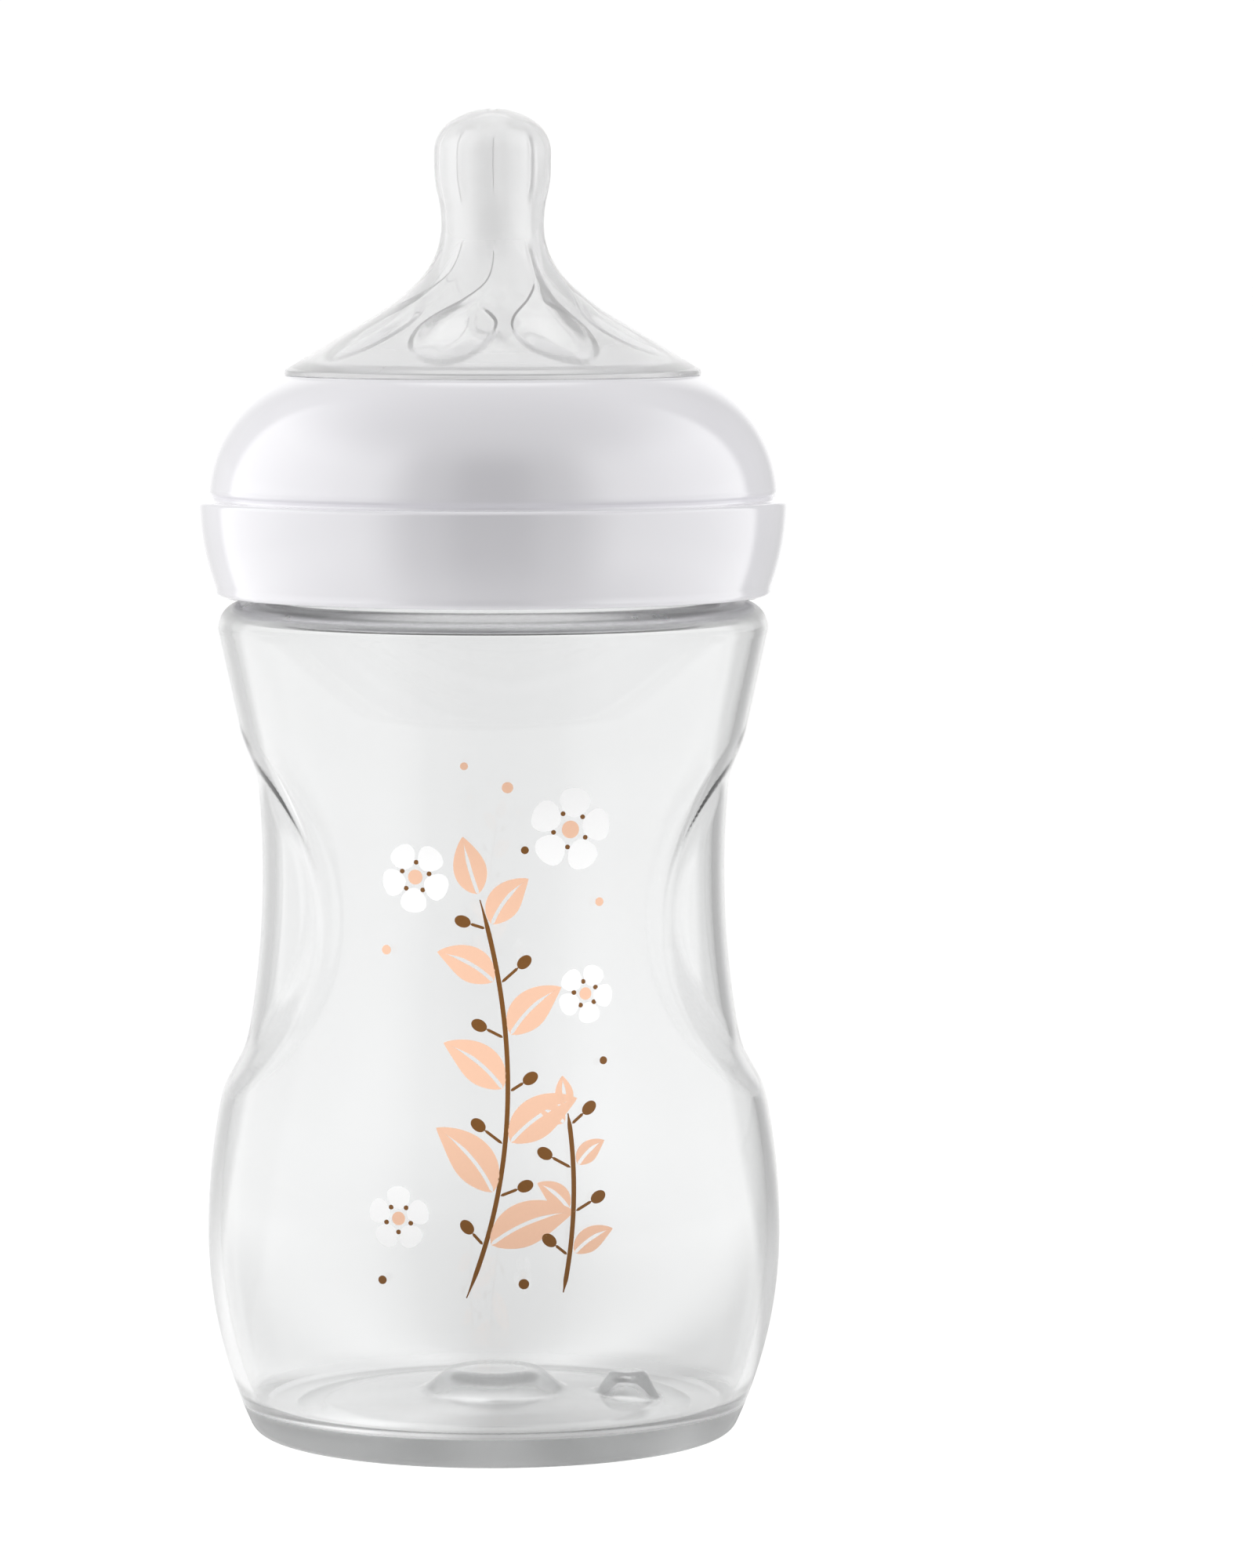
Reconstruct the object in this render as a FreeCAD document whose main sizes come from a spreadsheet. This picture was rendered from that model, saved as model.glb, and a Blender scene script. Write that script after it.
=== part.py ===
"""Baby bottle: a clear bottle with two thumb grips, a white screw ring and a silicone teat.

Millimetres. Z is up, the bottle stands on Z = 0 around the Z axis, its printed front faces -Y and its
thumb grips face +X and -X. Every driving size is a cell of the sheet; all else is an expression of them.
"""

import FreeCAD
import Part
import Sketcher

import math
import os
from types import SimpleNamespace

# Driving sizes

BOTTLE_SIZES = {
    "foot_width": 3.4,
    "heel_radius": 2.2,
    "belly_radius": 34.2,
    "belly_height": 24.3,
    "belly_lower_arc": 55.0,
    "belly_upper_arc": 80.0,
    "waist_depth": 5.55,
    "waist_rise": 46.7,
    "waist_upper_arc": 61.0,
    "taper_start": 12.0,
    "shoulder_rise": 25.2,
    "shoulder_spread": 2.1,
    "shoulder_corner": 3.3,
    "wall": 1.5,
    "neck_radius": 27.0,
    "neck_wall": 1.8,
    "neck_height": 18.2,
    "rim_round": 0.5,
}
GRIP_SIZES = {
    "grip_depth": 1.12,
    "grip_drop": 3.5,
    "grip_floor_arc": 110.0,
    "grip_floor_reach": 26.0,
    "grip_bevel_depth": 3.1,
    "grip_bevel_drop": 6.5,
    "grip_bevel_radius": 40.0,
    "grip_bevel_arc": 42.0,
    "grip_bevel_reach": 27.0,
    "grip_edge_round": 2.5,
}
BASE_SIZES = {
    "base_thickness": 2.4,
    "floor_height": 3.8,
    "floor_rise": 1.2,
    "floor_flat_radius": 20.5,
    "boss_foot_radius": 8.4,
    "boss_top_radius": 5.6,
    "boss_height": 2.5,
    "mark_offset": 16.0,
    "mark_foot_radius": 4.2,
    "mark_top_radius": 2.7,
    "mark_height": 3.2,
}
RING_SIZES = {
    "thread_space": 1.9,
    "sleeve_wall": 1.5,
    "relief_gap": 1.3,
    "relief_depth": 15.0,
    "skirt_wall": 1.5,
    "band_flare": 1.9,
    "band_arc": 31.0,
    "band_edge": 0.6,
    "ring_lift": 0.65,
    "band_height": 11.35,
    "ledge_width": 1.15,
    "ledge_groove": 0.45,
    "ledge_groove_height": 0.6,
    "dome_arc": 16.8,
    "lip_width": 1.8,
    "lip_height": 1.6,
    "lip_slope": 2.0,
    "clamp_height": 6.5,
}
TEAT_SIZES = {
    "flange_thickness": 2.0,
    "flange_clearance": 0.3,
    "groove_radius": 23.3,
    "groove_clearance": 0.3,
    "collar_overhang": 1.4,
    "collar_height": 0.6,
    "teat_wall": 1.6,
    "cone_angle": 59.0,
    "cone_knee_angle": 45.0,
    "cone_arc": 30.0,
    "nipple_foot_arc": 9.4,
    "nipple_neck_radius": 6.1,
    "bulb_swell": 0.85,
    "bulb_rise": 6.9,
    "bulb_lower_arc": 14.0,
    "bulb_straight": 1.6,
    "tip_corner": 4.5,
    "tip_dome_arc": 9.0,
    "feed_hole_radius": 0.45,
    "vent_radius": 0.6,
}
PETAL_SIZES = {
    "petal_depth": 0.45,
    "petal_tip_reach": 5.0,
    "petal_knee_reach": 11.7,
    "petal_foot_reach": 19.6,
    "petal_belly_reach": 16.7,
    "petal_hook_reach": 10.4,
    "petal_knee_turn": -35.0,
    "petal_foot_turn": -17.0,
    "petal_belly_turn": -5.0,
    "petal_hook_turn": 2.0,
}
PETAL_COUNT = 8


class Size:
    """A length as a number, to draw with, and as an expression of the sheet's cells, to bind with."""

    def __init__(self, value, text):
        self.value = value
        self.text = text

    def __add__(self, other):
        other = as_size(other)
        return Size(self.value + other.value, f"({self.text} + {other.text})")

    def __sub__(self, other):
        other = as_size(other)
        return Size(self.value - other.value, f"({self.text} - {other.text})")

    def __mul__(self, other):
        other = as_size(other)
        return Size(self.value * other.value, f"({self.text} * {other.text})")

    def __truediv__(self, other):
        other = as_size(other)
        return Size(self.value / other.value, f"({self.text} / {other.text})")


def as_size(number):
    if isinstance(number, Size):
        return number
    return Size(float(number), f"({number})")


def root(size):
    return Size(math.sqrt(size.value), f"sqrt({size.text})")


def sine(degrees):
    degrees = as_size(degrees)
    return Size(math.sin(math.radians(degrees.value)), f"sin({degrees.text} * 1 deg)")


def cosine(degrees):
    degrees = as_size(degrees)
    return Size(math.cos(math.radians(degrees.value)), f"cos({degrees.text} * 1 deg)")


def sagitta(radius, half_chord):
    """How far an arc falls away from its tangent at this distance along it."""
    return radius - root(radius * radius - half_chord * half_chord)


# Document and sheet

doc = FreeCAD.newDocument("baby_bottle")
sheet = doc.addObject("Spreadsheet::Sheet", "Dims")


def write_sheet(groups):
    """Puts every driving size in a cell with its own alias and returns them as Size values."""
    sizes = {}
    row = 1
    for group in groups:
        for name, number in group.items():
            sheet.set(f"A{row}", name)
            sheet.set(f"B{row}", str(number))
            sheet.setAlias(f"B{row}", name)
            sizes[name] = Size(number, f"Dims.{name}")
            row += 1
    doc.recompute()
    return SimpleNamespace(**sizes)


d = write_sheet([BOTTLE_SIZES, GRIP_SIZES, BASE_SIZES, RING_SIZES, TEAT_SIZES, PETAL_SIZES])

# Sketching

LEFT, RIGHT = 1, -1  # the side of an arc's direction of travel on which its centre lies
START, END = 1, 2


def origin_plane(body, role):
    for feature in body.Origin.OriginFeatures:
        if feature.Role == role:
            return feature
    raise ValueError(role)


def profile_sketch(body, name):
    """A sketch on the body's upright plane, across the front."""
    sketch = body.newObject("Sketcher::SketchObject", name)
    sketch.AttachmentSupport = (origin_plane(body, "XZ_Plane"), [""])
    sketch.MapMode = "FlatFace"
    return sketch


def arc_between(first, last, radius, side):
    """The shorter arc between two points, and whether it runs backwards: a sketch turns every arc left."""
    chord = last - first
    middle = (first + last) * 0.5
    across = FreeCAD.Vector(-chord.y, chord.x, 0) * (side / chord.Length)
    centre = middle + across * math.sqrt(max(radius * radius - chord.Length ** 2 / 4, 0))
    backwards = side == RIGHT
    if backwards:
        first, last = last, first
    from_angle = math.atan2(first.y - centre.y, first.x - centre.x)
    to_angle = math.atan2(last.y - centre.y, last.x - centre.x)
    circle = Part.Circle(centre, FreeCAD.Vector(0, 0, 1), radius)
    return Part.ArcOfCircle(circle, from_angle, to_angle), backwards


def bind(sketch, kind, geometry, point, size):
    """Holds one coordinate of a point, or a radius, to an expression."""
    if kind == "Radius":
        index = sketch.addConstraint(Sketcher.Constraint(kind, geometry, size.value))
    else:
        index = sketch.addConstraint(Sketcher.Constraint(kind, geometry, point, size.value))
    sketch.setExpression(f"Constraints[{index}]", size.text)


def draw_loop(sketch, path):
    """Draws a closed outline. Each step is (across, up) for a line to there, or (across, up, radius, side)
    for an arc. A coordinate given as a plain 0 lies on the sketch's own axis.
    """
    points = [FreeCAD.Vector(as_size(step[0]).value, as_size(step[1]).value, 0) for step in path]
    count = len(path)
    pieces = []
    for index in range(count):
        step = path[(index + 1) % count]
        first = points[index]
        last = points[(index + 1) % count]
        if len(step) == 4:
            arc, backwards = arc_between(first, last, step[2].value, step[3])
            pieces.append((sketch.addGeometry(arc, False), backwards))
        else:
            pieces.append((sketch.addGeometry(Part.LineSegment(first, last), False), False))
    for index in range(count):
        geometry, backwards = pieces[index]
        following, following_backwards = pieces[(index + 1) % count]
        here = START if backwards else END
        there = END if following_backwards else START
        sketch.addConstraint(Sketcher.Constraint("Coincident", geometry, here, following, there))
    for index in range(count):
        geometry, backwards = pieces[index]
        here = END if backwards else START
        across, up = path[index][0], path[index][1]
        if isinstance(across, Size):
            bind(sketch, "DistanceX", geometry, here, across)
        else:
            sketch.addConstraint(Sketcher.Constraint("PointOnObject", geometry, here, -2))
        if isinstance(up, Size):
            bind(sketch, "DistanceY", geometry, here, up)
        else:
            sketch.addConstraint(Sketcher.Constraint("PointOnObject", geometry, here, -1))
    for index in range(count):
        step = path[(index + 1) % count]
        if len(step) == 4:
            bind(sketch, "Radius", pieces[index][0], None, step[2])


def revolved(body, sketch, name, kind="PartDesign::Revolution"):
    """Turns a sketch once around its own vertical axis, adding to the body or cutting from it."""
    feature = body.newObject(kind, name)
    feature.Profile = sketch
    feature.ReferenceAxis = (sketch, ["V_Axis"])
    feature.Angle = 360.0
    doc.recompute()
    return feature


# Heights and radii that pieces share

waist_radius = d.belly_radius - d.waist_depth
waist_height = d.belly_height + d.waist_rise
shoulder_radius = (d.belly_radius + d.neck_radius) / 2 + d.shoulder_spread
shoulder_height = waist_height + d.shoulder_rise
shoulder_top = shoulder_height + d.shoulder_corner
rim_height = shoulder_top + d.neck_height
flange_top = rim_height + d.flange_thickness
lip_top = flange_top + d.clamp_height
neck_bore = d.neck_radius - d.neck_wall
sleeve_bore = d.neck_radius + d.thread_space
ring_foot = shoulder_top + d.ring_lift
lip_bore = d.groove_radius + d.groove_clearance

# Bottle


def side_wall(inset):
    """The side of the bottle from the belly's foot to the shoulder's top, moved inwards by inset. The belly
    and the waist each stand upright at their own height, and the arcs between them meet in one tangent.
    """
    arcs_reach = (d.waist_depth * d.waist_depth + d.waist_rise * d.waist_rise) / (d.waist_depth * 2)
    turn_rise = d.waist_rise * d.belly_upper_arc / arcs_reach
    upper_arc = d.belly_upper_arc - inset
    waist_lower_arc = arcs_reach - d.belly_upper_arc + inset
    waist_upper_arc = d.waist_upper_arc + inset
    turn_share = upper_arc / d.belly_upper_arc
    turn_radius = d.belly_radius - inset - sagitta(upper_arc, turn_rise * turn_share)
    taper_share = waist_upper_arc / d.waist_upper_arc
    taper_rise = d.taper_start * taper_share
    return [
        (d.belly_radius - inset, d.belly_height, d.belly_lower_arc - inset, LEFT),
        (turn_radius, d.belly_height + turn_rise * turn_share, upper_arc, LEFT),
        (waist_radius - inset, waist_height, waist_lower_arc, RIGHT),
        (
            waist_radius - inset + sagitta(waist_upper_arc, taper_rise),
            waist_height + taper_rise,
            waist_upper_arc,
            RIGHT,
        ),
        (shoulder_radius - inset, shoulder_height),
        (
            shoulder_radius - d.shoulder_corner,
            shoulder_top - inset,
            d.shoulder_corner - inset,
            LEFT,
        ),
    ]


def press_grips(body, name, inset):
    """Cuts a round bevel into each side of the body, then fills it again up to the grips' own waist."""
    bevel_axis = waist_radius - d.grip_bevel_depth - d.grip_bevel_radius
    bevel_height = waist_height - d.grip_bevel_drop
    bevel_radius = d.grip_bevel_radius - inset
    bevel_arc = d.grip_bevel_arc + inset
    bevel_end = bevel_radius + sagitta(bevel_arc, d.grip_bevel_reach)
    outside = d.belly_radius - bevel_axis + 5

    sketch = profile_sketch(body, f"{name}_bevel_sketch")
    sketch.setExpression("AttachmentOffset.Base.x", bevel_axis.text)
    draw_loop(
        sketch,
        [
            (outside, bevel_height - d.grip_bevel_reach),
            (outside, bevel_height + d.grip_bevel_reach),
            (bevel_end, bevel_height + d.grip_bevel_reach),
            (bevel_end, bevel_height - d.grip_bevel_reach, bevel_arc, LEFT),
        ],
    )
    full_volume = body.Shape.Volume
    groove = revolved(body, sketch, f"{name}_bevel", "PartDesign::Groove")
    one_side = full_volume - groove.Shape.Volume
    mirrored = body.newObject("PartDesign::Mirrored", f"{name}_bevels")
    mirrored.Originals = [groove]
    mirrored.MirrorPlane = (origin_plane(body, "YZ_Plane"), [""])
    body.Tip = mirrored
    doc.recompute()
    both_sides = full_volume - mirrored.Shape.Volume
    if one_side <= 0 or both_sides <= one_side:
        raise RuntimeError(f"{name} cuts nothing")

    floor_height = waist_height - d.grip_drop
    floor_radius = waist_radius - d.grip_depth - inset
    floor_arc = d.grip_floor_arc + inset
    floor_end = floor_radius + sagitta(floor_arc, d.grip_floor_reach)
    sketch = profile_sketch(body, f"{name}_floor_sketch")
    draw_loop(
        sketch,
        [
            (0, floor_height - d.grip_floor_reach),
            (floor_end, floor_height - d.grip_floor_reach),
            (floor_end, floor_height + d.grip_floor_reach, floor_arc, RIGHT),
            (0, floor_height + d.grip_floor_reach),
        ],
    )
    floor = revolved(body, sketch, f"{name}_floor")

    rounding = body.newObject("PartDesign::Fillet", f"{name}_rounding")
    rounding.Base = (floor, grip_edges(floor.Shape))
    rounding.setExpression("Radius", d.grip_edge_round.text)
    doc.recompute()


def grip_edges(shape):
    """The names of the edges around the grips: the only ones that change both height and bearing."""
    names = []
    for number, edge in enumerate(shape.Edges, 1):
        points = edge.discretize(9)
        heights = [point.z for point in points]
        bearings = [abs(point.y) for point in points]
        if max(heights) - min(heights) > 0.1 and max(bearings) > 1:
            names.append(f"Edge{number}")
    return names


boss_foot = d.floor_height + d.floor_rise
boss_top = boss_foot + d.boss_height


def make_bottle():
    """The outside form less the inside form, with a small moulding mark beside the boss in its base."""
    heel_run = d.belly_lower_arc - d.heel_radius
    heel_rise = d.belly_height - d.heel_radius
    foot_radius = d.belly_radius - d.belly_lower_arc + root(heel_run * heel_run - heel_rise * heel_rise)
    heel_sine = heel_rise / heel_run
    heel_end = d.heel_radius - d.heel_radius * heel_sine
    heel_radius = d.belly_radius - sagitta(d.belly_lower_arc, d.belly_height - heel_end)
    under_boss = d.base_thickness * 0.5

    outside = doc.addObject("PartDesign::Body", "bottle_outside")
    sketch = profile_sketch(outside, "bottle_outside_sketch")
    draw_loop(
        sketch,
        [
            (0, boss_top - d.base_thickness),
            (d.boss_top_radius - under_boss, boss_top - d.base_thickness),
            (d.boss_foot_radius - under_boss, boss_foot - d.base_thickness),
            (d.floor_flat_radius, d.floor_height - d.base_thickness),
            (foot_radius - d.foot_width, 0),
            (foot_radius, 0),
            (heel_radius, heel_end, d.heel_radius, LEFT),
            *side_wall(as_size(0)),
            (d.neck_radius, shoulder_top),
            (d.neck_radius, rim_height - d.rim_round),
            (d.neck_radius - d.rim_round, rim_height, d.rim_round, LEFT),
            (0, rim_height),
        ],
    )
    revolved(outside, sketch, "bottle_outside_form")
    press_grips(outside, "outside_grip", as_size(0))

    inside = doc.addObject("PartDesign::Body", "bottle_inside")
    sketch = profile_sketch(inside, "bottle_inside_sketch")
    floor_arc = d.belly_lower_arc - d.wall
    floor_radius = d.belly_radius - d.wall - sagitta(floor_arc, d.belly_height - d.floor_height)
    draw_loop(
        sketch,
        [
            (0, boss_top),
            (d.boss_top_radius, boss_top),
            (d.boss_foot_radius, boss_foot),
            (d.floor_flat_radius, d.floor_height),
            (floor_radius, d.floor_height),
            *side_wall(d.wall),
            (neck_bore, shoulder_top - d.wall),
            (neck_bore, rim_height + 1),
            (0, rim_height + 1),
        ],
    )
    revolved(inside, sketch, "bottle_inside_form")
    press_grips(inside, "inside_grip", d.wall)

    shell = boolean("Part::Cut", "bottle_shell", outside, inside)
    under = d.floor_height - d.base_thickness
    bump = cone(
        "mark_bump",
        d.mark_foot_radius,
        d.mark_top_radius,
        under + 1,
        d.mark_height + d.base_thickness - 1,
    )
    hollow = cone(
        "mark_hollow",
        d.mark_foot_radius - d.base_thickness * 0.5,
        d.mark_top_radius - d.base_thickness * 0.5,
        under,
        d.mark_height,
    )
    raised = boolean("Part::Fuse", "bottle_with_mark", shell, bump)
    return boolean("Part::Cut", "bottle", raised, hollow)


def cone(name, foot_radius, top_radius, foot, height):
    """An upright cone where the moulding mark stands."""
    solid = doc.addObject("Part::Cone", name)
    solid.setExpression("Radius1", foot_radius.text)
    solid.setExpression("Radius2", top_radius.text)
    solid.setExpression("Height", height.text)
    solid.setExpression("Placement.Base.x", d.mark_offset.text)
    solid.setExpression("Placement.Base.z", foot.text)
    return solid


# Screw ring


def make_ring():
    """A domed ring with a sleeve inside its skirt, left wide enough for the ridges of a thread."""
    body = doc.addObject("PartDesign::Body", "screw_ring")
    sketch = profile_sketch(body, "screw_ring_sketch")
    sleeve_outside = sleeve_bore + d.sleeve_wall
    skirt_inside = sleeve_outside + d.relief_gap
    band_foot = skirt_inside + d.skirt_wall
    band_top = band_foot + d.band_flare
    dome_foot = band_top - d.ledge_width
    ledge = ring_foot + d.band_height
    lip_foot = lip_top - d.lip_height
    clamp_bore = lip_bore + d.lip_slope
    draw_loop(
        sketch,
        [
            (sleeve_bore, ring_foot),
            (sleeve_outside, ring_foot),
            (sleeve_outside, ring_foot + d.relief_depth),
            (skirt_inside, ring_foot + d.relief_depth),
            (skirt_inside, ring_foot),
            (band_foot - d.band_edge, ring_foot),
            (band_foot, ring_foot + d.band_edge, d.band_edge, LEFT),
            (band_top, ledge - d.band_edge, d.band_arc, LEFT),
            (band_top - d.band_edge, ledge, d.band_edge, LEFT),
            (dome_foot - d.ledge_groove, ledge),
            (dome_foot - d.ledge_groove, ledge + d.ledge_groove_height),
            (dome_foot, ledge + d.ledge_groove_height + d.ledge_groove),
            (lip_bore + d.lip_width, lip_top, d.dome_arc, LEFT),
            (lip_bore, lip_top),
            (lip_bore, lip_foot),
            (clamp_bore, lip_foot - d.lip_slope),
            (clamp_bore, flange_top),
            (sleeve_bore, flange_top),
        ],
    )
    revolved(body, sketch, "screw_ring_form")
    return body


# Teat


def nipple(inset):
    """The teat's skin from the tip to the foot of the cone, moved inwards by inset: the points where its
    arcs meet. Each arc keeps its centre, so that the wall has the same thickness all the way.
    """
    knee_sine = sine(d.cone_knee_angle)
    knee_cosine = cosine(d.cone_knee_angle)
    cone_sine = sine(d.cone_angle)
    cone_cosine = cosine(d.cone_angle)
    collar_radius = d.groove_radius + d.collar_overhang
    foot_run = d.nipple_foot_arc * (as_size(1) - knee_cosine)
    arc_run = d.cone_arc * (knee_cosine - cone_cosine)
    straight_run = collar_radius - d.nipple_neck_radius - foot_run - arc_run
    arc_rise = d.cone_arc * (cone_sine - knee_sine)
    neck_height = (
        lip_top
        + d.collar_height
        + straight_run * cone_cosine / cone_sine
        + arc_rise
        + d.nipple_foot_arc * knee_sine
    )
    foot_centre = d.nipple_neck_radius + d.nipple_foot_arc
    foot_arc = d.nipple_foot_arc + inset
    centre_gap = d.cone_arc - d.nipple_foot_arc
    cone_centre_across = foot_centre + centre_gap * knee_cosine
    cone_centre_up = neck_height + centre_gap * knee_sine
    cone_arc = d.cone_arc + inset

    bulb_radius = d.nipple_neck_radius + d.bulb_swell
    bulb_height = neck_height + d.bulb_rise
    arcs_reach = (d.bulb_swell * d.bulb_swell + d.bulb_rise * d.bulb_rise) / (d.bulb_swell * 2)
    neck_arc = arcs_reach - d.bulb_lower_arc
    turn_rise = d.bulb_rise * (neck_arc + inset) / arcs_reach
    corner_height = bulb_height + d.bulb_straight
    corner_across = bulb_radius - d.tip_corner
    dome_gap = d.tip_dome_arc - d.tip_corner
    dome_drop = root(dome_gap * dome_gap - corner_across * corner_across)
    dome_arc = d.tip_dome_arc - inset
    return SimpleNamespace(
        dome_arc=dome_arc,
        dome_centre=corner_height - dome_drop,
        corner=(
            corner_across * dome_arc / dome_gap,
            corner_height - dome_drop + dome_drop * dome_arc / dome_gap,
        ),
        corner_arc=d.tip_corner - inset,
        bulb_top=(bulb_radius - inset, corner_height),
        bulb=(bulb_radius - inset, bulb_height),
        bulb_arc=d.bulb_lower_arc - inset,
        turn=(d.nipple_neck_radius - inset + sagitta(neck_arc + inset, turn_rise), neck_height + turn_rise),
        neck_arc=neck_arc + inset,
        neck=(d.nipple_neck_radius - inset, neck_height),
        foot_arc=foot_arc,
        knee=(foot_centre - foot_arc * knee_cosine, neck_height - foot_arc * knee_sine),
        cone_arc=cone_arc,
        cone=(cone_centre_across - cone_arc * cone_cosine, cone_centre_up - cone_arc * cone_sine),
    )


def on_cone(skin, radius):
    """The height at which the straight cone below this skin's last arc has this radius."""
    return skin.cone[1] - (radius - skin.cone[0]) * cosine(d.cone_angle) / sine(d.cone_angle)


def make_teat():
    """One silicone moulding, with petals sunk into its cone from inside and an air vent above its flange."""
    outer = nipple(as_size(0))
    inner = nipple(d.teat_wall)
    bore = d.groove_radius - d.teat_wall
    flange_radius = sleeve_bore - d.flange_clearance
    collar_radius = d.groove_radius + d.collar_overhang
    body = doc.addObject("PartDesign::Body", "teat_form")
    sketch = profile_sketch(body, "teat_sketch")
    draw_loop(
        sketch,
        [
            (
                d.feed_hole_radius,
                outer.dome_centre + outer.dome_arc - sagitta(outer.dome_arc, d.feed_hole_radius),
            ),
            (*outer.corner, outer.dome_arc, RIGHT),
            (*outer.bulb_top, outer.corner_arc, RIGHT),
            outer.bulb,
            (*outer.turn, outer.bulb_arc, RIGHT),
            (*outer.neck, outer.neck_arc, LEFT),
            (*outer.knee, outer.foot_arc, LEFT),
            (*outer.cone, outer.cone_arc, LEFT),
            (collar_radius, lip_top + d.collar_height),
            (collar_radius, lip_top),
            (d.groove_radius, lip_top),
            (d.groove_radius, flange_top),
            (flange_radius, flange_top),
            (flange_radius, rim_height),
            (bore, rim_height),
            (bore, on_cone(inner, bore)),
            inner.cone,
            (*inner.knee, inner.cone_arc, RIGHT),
            (*inner.neck, inner.foot_arc, RIGHT),
            (*inner.turn, inner.neck_arc, RIGHT),
            (*inner.bulb, inner.bulb_arc, LEFT),
            inner.bulb_top,
            (*inner.corner, inner.corner_arc, LEFT),
            (
                d.feed_hole_radius,
                inner.dome_centre + inner.dome_arc - sagitta(inner.dome_arc, d.feed_hole_radius),
                inner.dome_arc,
                LEFT,
            ),
        ],
    )
    revolved(body, sketch, "teat_revolution")

    vent = doc.addObject("Part::Cylinder", "vent")
    vent.setExpression("Radius", d.vent_radius.text)
    vent.setExpression("Height", (d.groove_radius + 1).text)
    vent.Placement.Rotation = FreeCAD.Rotation(FreeCAD.Vector(1, 0, 0), -90)
    vent.setExpression("Placement.Base.z", ((flange_top + lip_top) / 2).text)
    vented = boolean("Part::Cut", "teat_with_vent", body, vent)
    return boolean("Part::Cut", "teat", vented, make_petals())


def make_petals():
    """Leaf outlines seen from above, kept only where they lie in a thin layer of the cone's inner skin."""
    layer = doc.addObject("PartDesign::Body", "petal_layer")
    sketch = profile_sketch(layer, "petal_layer_sketch")
    floor = nipple(d.teat_wall - d.petal_depth)
    clear = nipple(d.teat_wall + 1)
    bore = d.groove_radius - d.teat_wall
    draw_loop(
        sketch,
        [
            floor.neck,
            (*floor.knee, floor.foot_arc, LEFT),
            (*floor.cone, floor.cone_arc, LEFT),
            (bore, on_cone(floor, bore)),
            (bore, on_cone(clear, bore)),
            clear.cone,
            (*clear.knee, clear.cone_arc, RIGHT),
            (*clear.neck, clear.foot_arc, RIGHT),
        ],
    )
    revolved(layer, sketch, "petal_layer_revolution")

    sketch = doc.addObject("Sketcher::SketchObject", "petal_outlines")
    for index in range(PETAL_COUNT):
        draw_loop(sketch, petal_outline(index * 360 / PETAL_COUNT))
    prisms = doc.addObject("Part::Extrusion", "petal_prisms")
    prisms.Base = sketch
    prisms.DirMode = "Custom"
    prisms.Dir = FreeCAD.Vector(0, 0, 1)
    prisms.setExpression("LengthFwd", (lip_top + 60).text)
    prisms.Solid = True
    doc.recompute()
    return boolean("Part::Common", "petal_pockets", layer, prisms)


def petal_outline(turn):
    """A leaf that leans away from its tip as it widens, turned about the axis by this many degrees."""
    tip = polar(d.petal_tip_reach, as_size(turn))
    knee = polar(d.petal_knee_reach, d.petal_knee_turn + turn)
    foot = polar(d.petal_foot_reach, d.petal_foot_turn + turn)
    belly = polar(d.petal_belly_reach, d.petal_belly_turn + turn)
    hook = polar(d.petal_hook_reach, d.petal_hook_turn + turn)
    return [
        tip,
        knee,
        (*foot, bulged(knee, foot, 0.233), LEFT),
        (*belly, bulged(foot, belly, 0.24), LEFT),
        (*hook, bulged(belly, hook, 0.103), LEFT),
    ]


def polar(reach, turn):
    """A point this far from the axis, turned this many degrees from the front."""
    return (reach * sine(turn), reach * cosine(turn) * -1)


def bulged(first, last, bulge):
    """The radius of an arc that rises above its chord by this share of the chord."""
    across = last[0] - first[0]
    up = last[1] - first[1]
    return root(across * across + up * up) * (0.125 / bulge + bulge / 2)


def boolean(kind, name, base, tool):
    result = doc.addObject(kind, name)
    result.Base = base
    result.Tool = tool
    doc.recompute()
    return result


# Build, check and write

NODES = {"bottle": make_bottle(), "screw_ring": make_ring(), "teat": make_teat()}
doc.recompute()

for thing in doc.Objects:
    if "Invalid" in thing.State or "Error" in thing.State:
        raise RuntimeError(f"{thing.Name}: {thing.State}")
    if getattr(thing, "FullyConstrained", True) is False:
        raise RuntimeError(f"{thing.Name} isn't fully constrained")

os.makedirs("parts", exist_ok=True)
for label, node in NODES.items():
    node.Label = label
    shape = node.Shape
    if shape.isNull() or not shape.isValid() or len(shape.Solids) != 1:
        raise RuntimeError(f"{label} isn't one valid solid")
    shape.exportStep(f"parts/{label}.step")
    print(label, round(shape.Volume), "cubic mm")
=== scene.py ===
import math

import bpy
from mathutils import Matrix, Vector


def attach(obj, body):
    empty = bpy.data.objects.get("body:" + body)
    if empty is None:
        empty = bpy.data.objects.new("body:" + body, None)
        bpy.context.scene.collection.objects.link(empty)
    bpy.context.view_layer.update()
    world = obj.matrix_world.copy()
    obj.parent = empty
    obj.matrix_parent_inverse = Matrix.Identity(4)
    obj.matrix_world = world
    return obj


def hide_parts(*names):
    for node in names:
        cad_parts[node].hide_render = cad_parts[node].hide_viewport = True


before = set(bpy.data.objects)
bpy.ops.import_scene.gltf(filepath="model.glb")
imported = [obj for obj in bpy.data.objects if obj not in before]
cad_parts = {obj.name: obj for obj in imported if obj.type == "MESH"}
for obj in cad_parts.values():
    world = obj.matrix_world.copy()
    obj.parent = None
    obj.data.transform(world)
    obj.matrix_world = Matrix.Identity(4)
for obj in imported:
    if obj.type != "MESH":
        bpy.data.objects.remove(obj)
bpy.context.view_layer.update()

MM = 0.001

# Lengths below are in millimetres until a mesh is made. A shorter one than this counts as none.
NO_LENGTH = 1e-6


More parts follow.
